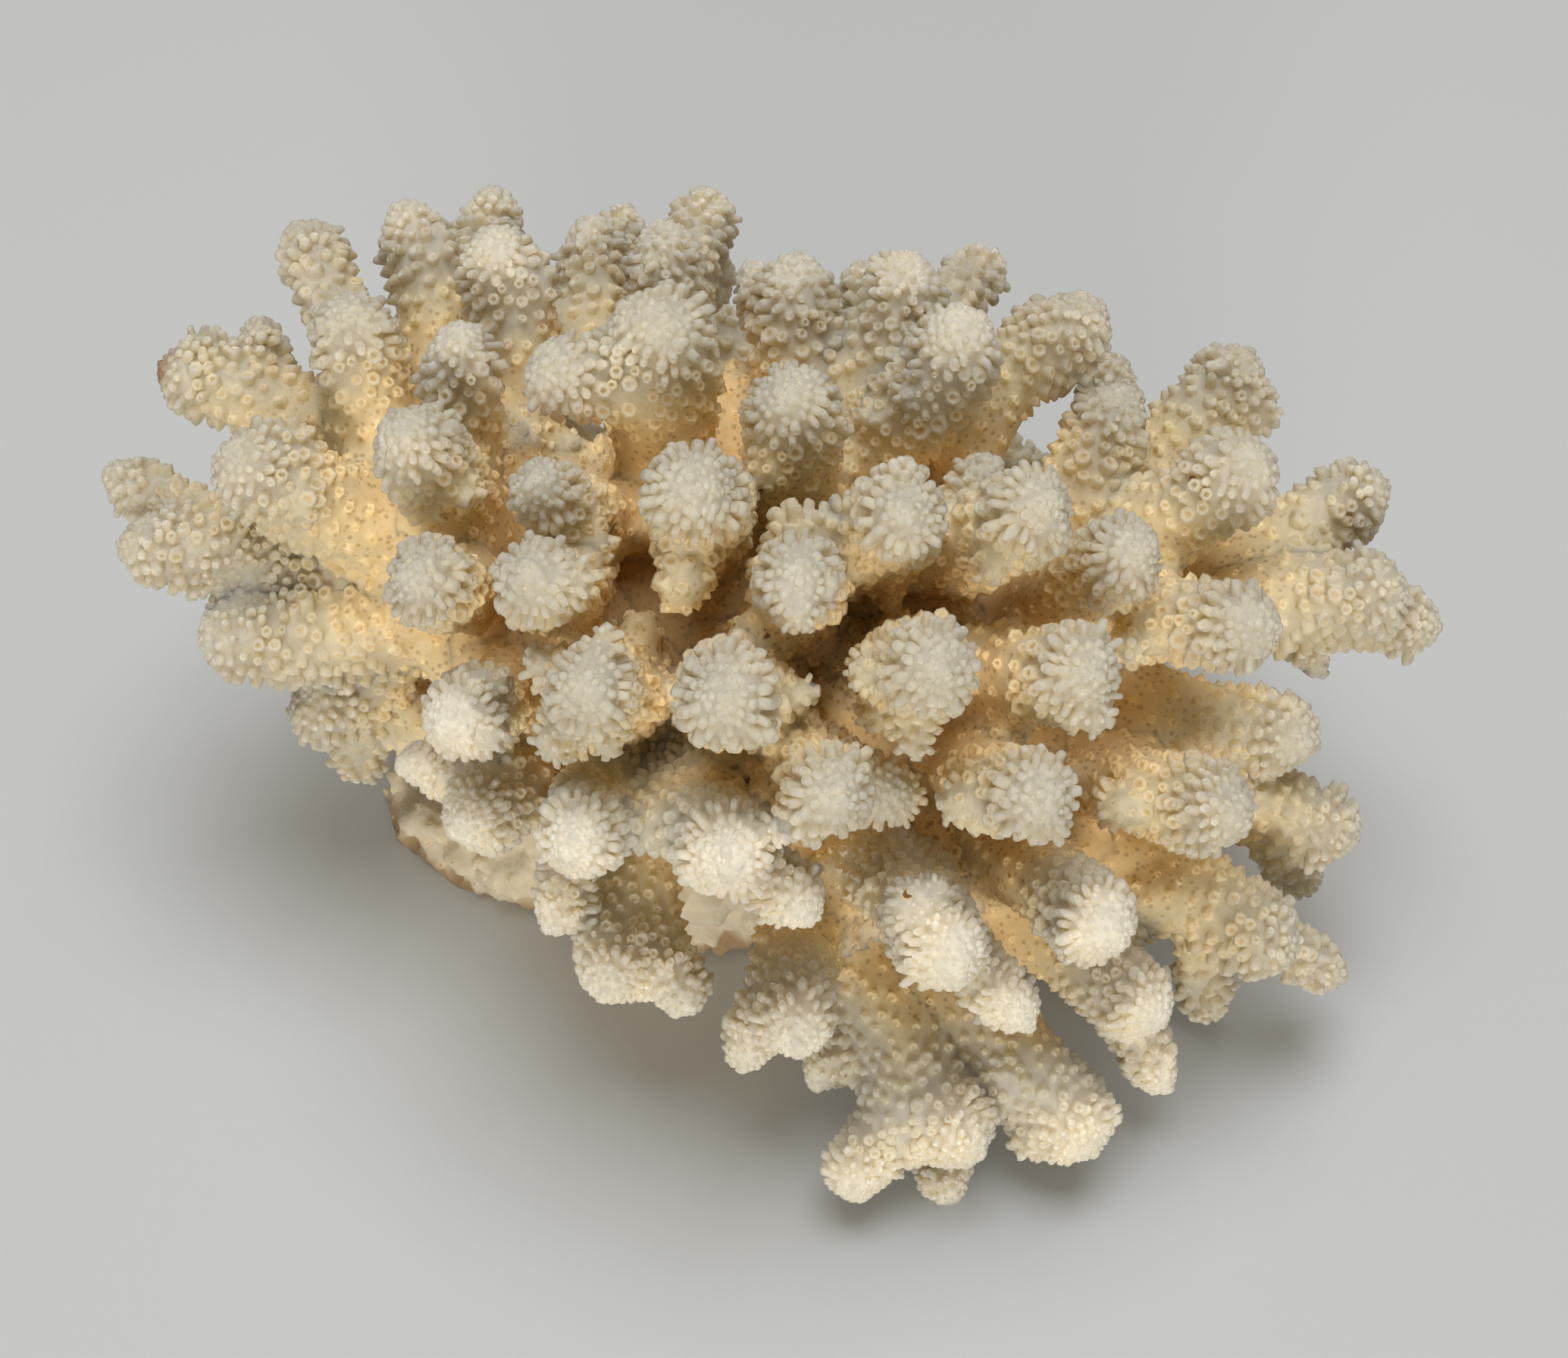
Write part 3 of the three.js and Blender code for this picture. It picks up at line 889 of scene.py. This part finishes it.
@dataclass
class Corallites:
    """The small tubes that stand on the fingers, packed close at the tips and fading to pores below.

    The tables go by reach, in millimetres. Lean is in degrees towards the tip, and shear is how far a
    mouth is turned, as a share of its radius.
    """

    reach: tuple[float, ...] = (0, 2, 4, 6, 9, 12, 16, 20, 28)
    spacing: tuple[float, ...] = (0.85, 0.92, 1.05, 1.25, 1.5, 1.75, 2.05, 2.5, 3.4)
    length: tuple[float, ...] = (0.2, 0.35, 0.75, 1.6, 1.3, 0.75, 0.5, 0.3, 0.12)
    radius: tuple[float, ...] = (0.44, 0.49, 0.58, 0.65, 0.80, 0.96, 0.96, 0.78, 0.5)
    lean: tuple[float, ...] = (-20, -35, -28, -10, 8, 20, 25, 25, 15)
    shear: tuple[float, ...] = (0.2, 0.2, 0.25, 0.3, 0.3, 0.35, 0.35, 0.3, 0.2)
    root: float = 0.8 * MM
    tries: int = 150000
    furthest: float = 27.0
    clear: float = 0.6 * MM
    tip_length: float = 0.4 * MM
    tip_radius: float = 0.75 * MM
    tip_room: float = 1.1 * MM
    vary: float = 0.17
    lean_vary: float = 6.0
    sprouting: float = 0.07
    sprout_ends: tuple[float, float] = (4.5, 13.0)
    sprout_growth: float = 1.3
    bumps_within: float = 4.0
    cups_beyond: float = 8.0
    rings_beyond: float = 14.0
    fineness: float = 0.86
    bud_room: float = 5.0 * MM
    bud_share: float = 0.75
    tube: TubeForm = TubeForm(
        sides=6,
        rings=(
            (0.0, 1.18, 0.0, 0.0),
            (0.68, 1.02, 0.3, 0.0),
            (0.93, 0.84, 0.8, 0.0),
            (1.03, 0.52, 1.0, 0.1),
            (0.80, 0.32, 0.4, 0.8),
        ),
        floor=0.7,
    )
    cup: TubeForm = TubeForm(
        sides=6,
        rings=(
            (0.0, 1.2, 0.0, 0.0),
            (0.75, 1.02, 0.1, 0.0),
            (1.0, 0.82, 0.6, 0.0),
            (0.95, 0.56, 0.5, 0.2),
            (0.45, 0.44, 0.0, 0.9),
        ),
        floor=0.3,
    )
    ring: TubeForm = TubeForm(
        sides=5,
        rings=((0.0, 1.2, 0.0, 0.0), (0.9, 0.94, 0.6, 0.0), (1.0, 0.58, 1.0, 0.1), (0.3, 0.42, 0.4, 0.8)),
        floor=0.2,
    )
    bump: TubeForm = TubeForm(
        sides=5,
        rings=((0.0, 1.2, 0.0, 0.0), (0.6, 1.0, 0.5, 0.0), (1.0, 0.55, 1.0, 0.0)),
        floor=1.08,
    )

    def plant(self, skin: Skin) -> list[Shell]:
        """Sets the tubes out over the skin and builds them.

        Args:
            skin: What they stand on.

        Returns:
            One shell for each solid, in the skin's order.
        """
        rng = np.random.default_rng(SEED)
        a, b, c, d = (skin.places[skin.faces[:, k]] for k in range(4))
        area = np.linalg.norm(np.cross(c - a, d - b), axis=1)
        fine = np.where(skin.fine, self.fineness, 1.0)
        room = np.interp(skin.reach[skin.faces[:, 0]] / MM, self.reach, self.spacing) * fine[skin.faces[:, 0]]
        chance = area / room**2
        face = rng.choice(len(area), self.tries, p=chance / chance.sum())
        u, v = rng.random((2, self.tries, 1))
        corner = skin.faces[face]
        weights = [(1 - u) * (1 - v), u * (1 - v), u * v, (1 - u) * v]
        place = sum(w * skin.places[corner[:, k]] for k, w in enumerate(weights))
        normal = unit(sum(w * skin.normals[corner[:, k]] for k, w in enumerate(weights)))
        reach = sum(w[:, 0] * skin.reach[corner[:, k]] for k, w in enumerate(weights)) / MM
        place = np.concatenate([skin.places[skin.tips], place])
        normal = np.concatenate([skin.normals[skin.tips], normal])
        reach = np.concatenate([skin.reach[skin.tips] / MM, reach])
        at = np.concatenate([skin.tips, corner[:, 0]])
        growth, owner, stain, tone, fine = (
            values[at] for values in (skin.growth, skin.owner, skin.stain, skin.tone, fine)
        )
        room = np.interp(reach, self.reach, self.spacing) * MM * fine
        room[: len(skin.tips)] = self.tip_room
        chosen = self._spaced(place, normal, room)
        chosen = chosen[(place[chosen, 2] > self.clear) & (reach[chosen] < self.furthest)]
        count = len(chosen)
        size = self._sized(skin, place[chosen], reach[chosen], rng)
        size[:2] *= fine[chosen]
        axial = chosen < len(skin.tips)
        size[:2, axial] = [[self.tip_length], [self.tip_radius]]
        lean = np.interp(reach[chosen], self.reach, self.lean) + rng.normal(0, self.lean_vary, count)
        lean = np.radians(lean)
        axis = unit(normal[chosen] * np.cos(lean)[:, None] + growth[chosen] * np.sin(lean)[:, None])
        crown = (reach[chosen] < self.bumps_within) & ~axial
        sunk = reach[chosen] > self.rings_beyond
        open_mouthed = (reach[chosen] > self.cups_beyond) & ~sunk & ~axial
        petal = ~(crown | sunk | open_mouthed)
        kinds = ((self.bump, crown), (self.tube, petal), (self.cup, open_mouthed), (self.ring, sunk))
        LOG.info("corallites: %d, of which %d bumps and %d rings", count, crown.sum(), sunk.sum())
        shells = []
        for index in range(len(skin.names)):
            mine = owner[chosen] == index
            forms = []
            for form, fits in kinds:
                some = np.flatnonzero(mine & fits)
                which = chosen[some]
                tubes = form.build(place[which], axis[some], growth[which], size[:, some], self.root)
                each = len(form.rings) * form.sides + 2
                tubes.traits[Trait.TONE] = np.repeat(tone[which], each)
                tubes.traits[Trait.STAIN] = np.repeat(stain[which], each)
                forms.append(tubes)
            shells.append(Shell.joined(forms))
        return shells

    def _sized(self, skin: Skin, place: Array, reach: Array, rng: np.random.Generator) -> Array:
        """How long and how wide each tube is, and how far its mouth is turned.

        Args:
            skin: What the tubes stand on.
            place: Where each of them stands.
            reach: Its way from the nearest tip, in millimetres.
            rng: What makes them uneven.

        Returns:
            A row of lengths, a row of radii and a row of turns.
        """
        size = np.stack([np.interp(reach, self.reach, row) for row in (self.length, self.radius, self.shear)])
        size[:2] *= MM * np.exp(rng.normal(0, self.vary, (2, len(reach))))
        sprouts = (reach > self.sprout_ends[0]) & (reach < self.sprout_ends[1])
        sprouts &= rng.random(len(reach)) < self.sprouting
        size[0, sprouts] *= self.sprout_growth
        for end, _ in skin.bud_ends:
            near = np.linalg.norm(place - np.array(end), axis=1) < self.bud_room
            size[:2, near] *= self.bud_share
        return size

    @staticmethod
    def _spaced(place: Array, normal: Array, room: Array) -> Array:
        """Picks places, in order, that keep their distance from those picked before.

        Args:
            place: Where each candidate is.
            normal: Which way it faces, since one on another finger doesn't crowd it.
            room: How far it keeps from its neighbours.

        Returns:
            The numbers of the candidates picked.
        """
        cell = float(room.max())
        square = np.floor(place / cell).astype(int).tolist()
        points, facing, wide = place.tolist(), normal.tolist(), room.tolist()
        around = [(i, j, k) for i in (-1, 0, 1) for j in (-1, 0, 1) for k in (-1, 0, 1)]
        taken: dict[tuple[int, int, int], list[int]] = {}
        picked = []
        for n, (x, y, z) in enumerate(points):
            i, j, k = square[n]
            free = True
            for di, dj, dk in around:
                for m in taken.get((i + di, j + dj, k + dk), ()):
                    p, q = points[m], facing[m]
                    gap = (x - p[0]) ** 2 + (y - p[1]) ** 2 + (z - p[2]) ** 2
                    if gap < wide[n] ** 2 and sum(s * t for s, t in zip(q, facing[n])) > 0.0:
                        free = False
                        break
                if not free:
                    break
            if free:
                taken.setdefault((i, j, k), []).append(n)
                picked.append(n)
        return np.array(picked)


@dataclass(frozen=True)
class Bores:
    """The few round holes that worms left, each with a low rim and a dark bottom."""

    radius: float = 0.75 * MM
    length: float = 0.12 * MM
    root: float = 0.6 * MM
    tone: float = 21.0
    form: TubeForm = TubeForm(
        sides=9,
        rings=(
            (0.0, 1.5, 0.0, 0.0),
            (0.6, 1.3, 0.0, 0.0),
            (1.0, 1.0, 0.0, 0.0),
            (0.8, 0.8, 0.0, 1.0),
        ),
        floor=0.1,
    )

    def sink(self, skin: Skin) -> list[Shell]:
        """Puts the holes in the skin.

        Args:
            skin: What they are bored in.

        Returns:
            One shell for each solid, in the skin's order.
        """
        found: dict[int, list[tuple[Vector, Vector]]] = {}
        for x, y in BORES:
            place, normal, face, _ = skin.tree.ray_cast(skin.eye.place(), skin.eye.towards(x, y))
            if place is not None:
                found.setdefault(int(skin.owner[skin.faces[face, 0]]), []).append((place, normal))
        shells = []
        for index in range(len(skin.names)):
            here = found.get(index, [])
            place = np.array([tuple(p) for p, _ in here]).reshape(-1, 3)
            axis = np.array([tuple(n) for _, n in here]).reshape(-1, 3)
            size = np.tile([[self.length], [self.radius], [0.0]], len(here))
            shell = self.form.build(place, axis, axis[:, [1, 2, 0]], size, self.root)
            shell.traits[Trait.TONE] = np.full(len(shell.places), self.tone)
            # A bore's pit takes the stain colour, which draws its bottom dark.
            shell.traits[Trait.STAIN] = shell.traits[Trait.PIT]
            shells.append(shell)
        return shells


@dataclass(frozen=True)
class ChalkFinish:
    """Bleached skeleton: near white at the tips, cream on the fingers, tan to brown between them.

    The tan between the fingers is partly painted shade and painted bounce light; the lighter lips are
    painted highlight, and the darker pits and pores are painted shade.
    """

    name: str
    stops: tuple[tuple[float, Colour], ...]
    # lip is painted highlight on the corallites' rims, pit painted shade in their pits, and pore painted
    # shade at pores that are not modelled as holes.
    lip: Colour
    pit: Colour
    pore: Colour
    lip_fade: tuple[float, float] = (28.0, 18.0)
    pit_fade: tuple[float, float] = (13.0, 21.0)
    pore_fade: tuple[float, float] = (20.0, 28.0)
    lip_highlight_share: float = 0.4
    pit_shade_share: float = 0.75
    pore_shade_share: float = 0.5
    speckle_share: float = 0.4
    stain: Colour = (0.22, 0.11, 0.04)
    wander: float = 7.0
    bump: float = 0.4
    bump_depth: float = 0.25 * MM
    roughness: tuple[float, float] = (0.72, 0.92)
    shine: float = 0.25
    glow: float = 0.8
    glow_depth: float = 3.0 * MM
    glow_tint: Colour = (1.0, 0.78, 0.48)
    span: float = 49.0

    def material(self, grain: bpy.types.NodeTree) -> bpy.types.Material:
        """Builds the material.

        Args:
            grain: The shared grain and pore group.

        Returns:
            The finished material.
        """
        material = bpy.data.materials.new(self.name)
        material.use_nodes = True
        tree = material.node_tree
        nodes, links = tree.nodes, tree.links
        shader = nodes["Principled BSDF"]
        grained = nodes.new("ShaderNodeGroup")
        grained.node_tree = grain
        traits = {}
        for trait in Trait:
            node = nodes.new("ShaderNodeAttribute")
            node.attribute_name = trait.value
            traits[trait] = node.outputs["Fac"]
        tone = traits[Trait.TONE]
        colour = self._body(tree, grained, tone)
        # Painted highlight on the lips, painted shade in the pits and dark dots of painted shade at the
        # pores.
        marks = (
            (traits[Trait.LIP], self._fade(tree, tone, self.lip_fade), self.lip_highlight_share, self.lip),
            (traits[Trait.PIT], self._fade(tree, tone, self.pit_fade), self.pit_shade_share, self.pit),
            (grained.outputs["Pores"], self._pored(tree, tone), self.pore_shade_share, self.pore),
        )
        for mask, fade, share, towards in marks:
            shown = self._math(tree, "MULTIPLY", mask, fade)
            colour = self._tint(tree, self._math(tree, "MULTIPLY", shown, share), colour, towards)
        colour = self._tint(tree, traits[Trait.STAIN], colour, self.stain)
        links.new(colour, shader.inputs["Base Color"])
        rough = nodes.new("ShaderNodeMapRange")
        rough.inputs["To Min"].default_value, rough.inputs["To Max"].default_value = self.roughness
        links.new(grained.outputs["Speckle"], rough.inputs["Value"])
        links.new(rough.outputs["Result"], shader.inputs["Roughness"])
        bump = nodes.new("ShaderNodeBump")
        bump.inputs["Strength"].default_value = self.bump
        bump.inputs["Distance"].default_value = self.bump_depth
        links.new(grained.outputs["Speckle"], bump.inputs["Height"])
        links.new(bump.outputs["Normal"], shader.inputs["Normal"])
        shader.inputs["Specular IOR Level"].default_value = self.shine
        shader.subsurface_method = "BURLEY"
        shader.inputs["Subsurface Weight"].default_value = self.glow
        shader.inputs["Subsurface Radius"].default_value = self.glow_tint
        shader.inputs["Subsurface Scale"].default_value = self.glow_depth
        return material

    def _pored(self, tree: bpy.types.NodeTree, tone: Socket) -> Socket:
        """How much of the pores shows."""
        return self._fade(tree, tone, self.pore_fade)

    def _body(self, tree: bpy.types.NodeTree, grained: bpy.types.Node, tone: Socket) -> Socket:
        """The colour along a finger, before lips, pits and pores.

        Args:
            tree: The material's nodes.
            grained: The grain group's node.
            tone: How far from white, as a way from the tip in millimetres.

        Returns:
            The colour.
        """
        spread = self._math(tree, "MULTIPLY", grained.outputs["Cloud"], self.wander)
        along = self._math(tree, "DIVIDE", self._math(tree, "ADD", spread, tone), self.span)
        ramp = tree.nodes.new("ShaderNodeValToRGB")
        ramp.color_ramp.elements.remove(ramp.color_ramp.elements[1])
        for k, (at, colour) in enumerate(self.stops):
            stop = ramp.color_ramp.elements[0] if k == 0 else ramp.color_ramp.elements.new(at / self.span)
            stop.position = at / self.span
            stop.color = (*colour, 1.0)
        tree.links.new(along, ramp.inputs["Fac"])
        node = tree.nodes.new("ShaderNodeMix")
        node.data_type = "RGBA"
        node.blend_type = "SOFT_LIGHT"
        node.inputs["Factor"].default_value = self.speckle_share
        tree.links.new(ramp.outputs["Color"], node.inputs[MIX_FROM])
        tree.links.new(grained.outputs["Speckle"], node.inputs[MIX_TO])
        return node.outputs[MIXED]

    @staticmethod
    def _math(tree: bpy.types.NodeTree, operation: str, value: Socket, by: "Socket | float") -> Socket:
        """A sum of a value with a number or another value.

        Args:
            tree: The material's nodes.
            operation: Which sum.
            value: The first value.
            by: The second, a number or a value.

        Returns:
            The result.
        """
        node = tree.nodes.new("ShaderNodeMath")
        node.operation = operation
        tree.links.new(value, node.inputs[0])
        if isinstance(by, float):
            node.inputs[1].default_value = by
        else:
            tree.links.new(by, node.inputs[1])
        return node.outputs["Value"]

    @staticmethod
    def _fade(tree: bpy.types.NodeTree, value: Socket, ends: tuple[float, float]) -> Socket:
        """A smooth step from nought to one as a value goes from one end to the other.

        Args:
            tree: The material's nodes.
            value: The value.
            ends: Where the step starts and where it ends.

        Returns:
            The step.
        """
        node = tree.nodes.new("ShaderNodeMapRange")
        node.interpolation_type = "SMOOTHSTEP"
        node.inputs["From Min"].default_value, node.inputs["From Max"].default_value = ends
        tree.links.new(value, node.inputs["Value"])
        return node.outputs["Result"]

    @staticmethod
    def _tint(tree: bpy.types.NodeTree, amount: Socket, colour: Socket, towards: Colour) -> Socket:
        """A colour drawn towards another.

        Args:
            tree: The material's nodes.
            amount: By how much, from nought to one.
            colour: The colour.
            towards: The other one.

        Returns:
            The mixed colour.
        """
        node = tree.nodes.new("ShaderNodeMix")
        node.data_type = "RGBA"
        tree.links.new(amount, node.inputs["Factor"])
        tree.links.new(colour, node.inputs[MIX_FROM])
        node.inputs[MIX_TO].default_value = (*towards, 1.0)
        return node.outputs[MIXED]


@dataclass(frozen=True)
class WallFinish(ChalkFinish):
    """The trunk: brown between the fingers, partly as painted shade, paler on its outer wall and dark brown
    at the broken edge by the ground.
    """

    wall: Colour = (0.62, 0.555, 0.43)
    wall_ends: tuple[float, float] = (40 * MM, 22 * MM)
    wander_up: float = 10 * MM
    edge: Colour = (0.30, 0.19, 0.09)
    edge_ends: tuple[float, float] = (4.5 * MM, 0.5 * MM)
    edge_share: float = 0.85

    def _height(self, tree: bpy.types.NodeTree) -> Socket:
        """How high above the ground a point is.

        Args:
            tree: The material's nodes.

        Returns:
            The height.
        """
        split = tree.nodes.new("ShaderNodeSeparateXYZ")
        tree.links.new(tree.nodes.new("ShaderNodeTexCoord").outputs["Object"], split.inputs["Vector"])
        return split.outputs["Z"]

    def _pored(self, tree: bpy.types.NodeTree, tone: Socket) -> Socket:
        """How much of the pores shows, which is less on the outer wall."""
        high = self._fade(tree, self._height(tree), self.wall_ends[::-1])
        return self._math(tree, "MULTIPLY", super()._pored(tree, tone), high)

    def _body(self, tree: bpy.types.NodeTree, grained: bpy.types.Node, tone: Socket) -> Socket:
        """The colour between the fingers, drawn to the wall's and then the edge's nearer the ground.

        Args:
            tree: The material's nodes.
            grained: The grain group's node.
            tone: How far from white, as a way from the tip in millimetres.

        Returns:
            The colour.
        """
        colour = super()._body(tree, grained, tone)
        spread = self._math(tree, "MULTIPLY", grained.outputs["Cloud"], self.wander_up)
        height = self._math(tree, "ADD", self._height(tree), spread)
        colour = self._tint(tree, self._fade(tree, height, self.wall_ends), colour, self.wall)
        low = self._math(tree, "MULTIPLY", self._fade(tree, height, self.edge_ends), self.edge_share)
        return self._tint(tree, low, colour, self.edge)


def skeleton_grain(
    cloud: tuple[float, float] = (120.0, 1.0),
    speckle: tuple[float, float] = (900.0, 2.0),
    pore_scale: float = 860.0,
    pore_radius: float = 0.37,
) -> bpy.types.NodeTree:
    """The grain that every finish here shares: clouds, speckle and pores.

    Args:
        cloud: The clouds' scale and detail.
        speckle: The speckle's scale and detail.
        pore_scale: How many pores lie along a metre.
        pore_radius: A pore's radius, as a share of the distance between pores.

    Returns:
        The node group.
    """
    group = bpy.data.node_groups.new("skeleton_grain", "ShaderNodeTree")
    for name in ("Cloud", "Speckle", "Pores"):
        group.interface.new_socket(name, in_out="OUTPUT", socket_type="NodeSocketFloat")
    nodes, links = group.nodes, group.links
    given = nodes.new("NodeGroupOutput")
    where = nodes.new("ShaderNodeTexCoord").outputs["Object"]
    noises = []
    for scale, detail in (cloud, speckle):
        node = nodes.new("ShaderNodeTexNoise")
        node.inputs["Scale"].default_value = scale
        node.inputs["Detail"].default_value = detail
        links.new(where, node.inputs["Vector"])
        noises.append(node.outputs["Fac"])
    centred = nodes.new("ShaderNodeMath")
    centred.operation = "SUBTRACT"
    links.new(noises[0], centred.inputs[0])
    centred.inputs[1].default_value = 0.5
    cells = nodes.new("ShaderNodeTexVoronoi")
    cells.inputs["Scale"].default_value = pore_scale
    links.new(where, cells.inputs["Vector"])
    near = nodes.new("ShaderNodeMapRange")
    near.interpolation_type = "SMOOTHSTEP"
    near.inputs["From Min"].default_value = pore_radius
    near.inputs["From Max"].default_value = 0.5 * pore_radius
    links.new(cells.outputs["Distance"], near.inputs["Value"])
    links.new(centred.outputs["Value"], given.inputs["Cloud"])
    links.new(noises[1], given.inputs["Speckle"])
    links.new(near.outputs["Result"], given.inputs["Pores"])
    return group


@dataclass
class Colony:
    """The dressed colony: a piece for each solid, with its share of the skin and its corallites."""

    skin: Skin = field(default_factory=Skin)
    corallites: Corallites = field(default_factory=Corallites)
    bores: Bores = Bores()
    finger_finish: ChalkFinish = ChalkFinish(
        # Past a tone of 20 these are lighter and warmer than at the tips: the limbs' real tan, raised as
        # painted bounce light.
        "chalk_white",
        stops=(
            (0.0, (0.67, 0.64, 0.57)),
            (9.0, (0.475, 0.45, 0.39)),
            (15.0, (0.51, 0.47, 0.375)),
            (20.0, (0.59, 0.525, 0.385)),
            (25.0, (0.70, 0.595, 0.385)),
            (31.0, (0.78, 0.625, 0.36)),
            (39.0, (0.85, 0.635, 0.33)),
            (49.0, (0.71, 0.475, 0.205)),
        ),
        # Painted highlight (lip) and painted shade (pit, pore).
        lip=(0.54, 0.505, 0.425),
        pit=(0.52, 0.39, 0.21),
        pore=(0.36, 0.21, 0.09),
    )
    foot_finish: WallFinish = WallFinish(
        "weathered_tan",
        # Towards a tone of 33 these grow lighter and warmer: the real tan, raised as painted bounce light.
        stops=(
            (9.0, (0.62, 0.565, 0.445)),
            (25.0, (0.74, 0.625, 0.40)),
            (33.0, (0.83, 0.635, 0.345)),
            (49.0, (0.71, 0.475, 0.205)),
        ),
        # Painted highlight (lip) and painted shade (pit, pore).
        lip=(0.72, 0.62, 0.46),
        pit=(0.34, 0.22, 0.10),
        pore=(0.32, 0.19, 0.08),
        bump=0.7,
        bump_depth=0.7 * MM,
    )

    def build(self, nodes: dict[str, bpy.types.Object]) -> None:
        """Builds and dresses every piece.

        Args:
            nodes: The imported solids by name.
        """
        self.skin.build(nodes)
        tubes = self.corallites.plant(self.skin)
        bores = self.bores.sink(self.skin)
        grain = skeleton_grain()
        looks = {Slot.FINGER: self.finger_finish, Slot.FOOT: self.foot_finish}
        finishes = {slot: look.material(grain) for slot, look in looks.items()}
        total = 0
        for index, name in enumerate(self.skin.names):
            shell = Shell.joined([self.skin.patch(index), tubes[index], bores[index]])
            shell.places = np.clip(shell.places, *np.array(CAD_BOX))
            piece = shell.to_object(f"{name}_skeleton")
            slot = Slot.FOOT if name == FOOT else Slot.FINGER
            piece.data.materials.append(finishes[slot])
            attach(piece, "root")
            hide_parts(name)
            triangles = int((shell.faces[:, 2] != shell.faces[:, 3]).sum()) + len(shell.faces)
            total += triangles
            LOG.info("%s: %d triangles", piece.name, triangles)
        LOG.info("all pieces: %d triangles", total)


@dataclass(frozen=True)
class Lamp:
    """A round soft lamp that faces the colony."""

    name: str
    place: tuple[float, float, float]
    size: float
    energy: float
    colour: Colour


@dataclass
class Studio:
    """A plain pale floor, soft light from above and in front, and the photograph's eye."""

    eye: Eye = Eye()
    sensor: float = 36.0
    nearest: float = 10 * MM
    floor_size: float = 6.0
    floor_roughness: float = 0.7
    floor_colour: Colour = (0.62, 0.642, 0.655)
    sky_colour: Colour = (1.0, 0.87, 0.68)
    sky_strength: float = 0.27
    lamps: tuple[Lamp, ...] = (
        Lamp("overhead", (0.0, 0.04, 1.3), 0.9, 10.6, (0.975, 1.0, 1.035)),
        Lamp("front", (-0.2, -3.5, 0.5), 1.4, 70.0, (1.0, 0.96, 0.88)),
    )

    def build(self) -> None:
        """Puts up the floor, the lights and the camera."""
        self._floor()
        self._lights()
        self._camera()

    def _floor(self) -> None:
        """A wide matt floor."""
        half = self.floor_size / 2
        mesh = bpy.data.meshes.new("floor")
        corners = [(-half, -half, 0), (half, -half, 0), (half, half, 0), (-half, half, 0)]
        mesh.from_pydata(corners, [], [(0, 1, 2, 3)])
        floor = bpy.data.objects.new("floor", mesh)
        bpy.context.scene.collection.objects.link(floor)
        material = bpy.data.materials.new("pale_floor")
        material.use_nodes = True
        shader = material.node_tree.nodes["Principled BSDF"]
        shader.inputs["Base Color"].default_value = (*self.floor_colour, 1.0)
        shader.inputs["Roughness"].default_value = self.floor_roughness
        mesh.materials.append(material)

    def _lights(self) -> None:
        """A soft light overhead, one low and far off in front, and a warm even fill all round."""
        scene = bpy.context.scene
        scene.view_settings.view_transform = "Standard"
        world = bpy.data.worlds.new("studio")
        world.use_nodes = True
        scene.world = world
        sky = world.node_tree.nodes["Background"]
        sky.inputs["Color"].default_value = (*self.sky_colour, 1.0)
        sky.inputs["Strength"].default_value = self.sky_strength
        for lamp in self.lamps:
            light = bpy.data.lights.new(lamp.name, "AREA")
            light.shape = "DISK"
            light.size, light.energy, light.color = lamp.size, lamp.energy, lamp.colour
            holder = bpy.data.objects.new(lamp.name, light)
            holder.location = lamp.place
            ahead = Vector(self.eye.aim) - holder.location
            holder.rotation_euler = ahead.to_track_quat("-Z", "Y").to_euler()
            scene.collection.objects.link(holder)

    def _camera(self) -> None:
        """The camera at the photograph's place."""
        lens = bpy.data.cameras.new("eye")
        lens.sensor_width = self.sensor
        lens.lens = self.sensor * self.eye.focal / self.eye.width
        lens.clip_start = self.nearest
        eye = bpy.data.objects.new("eye", lens)
        eye.location = self.eye.place()
        eye.rotation_euler = (-self.eye.away()).to_track_quat("-Z", "Y").to_euler()
        bpy.context.scene.collection.objects.link(eye)
        bpy.context.scene.camera = eye


def main() -> None:
    """Builds the colony and its studio."""
    logging.basicConfig(level=logging.INFO, format="%(name)s: %(message)s")
    Colony().build(frame["nodes"])
    Studio().build()


if __name__ == "__main__":
    main()
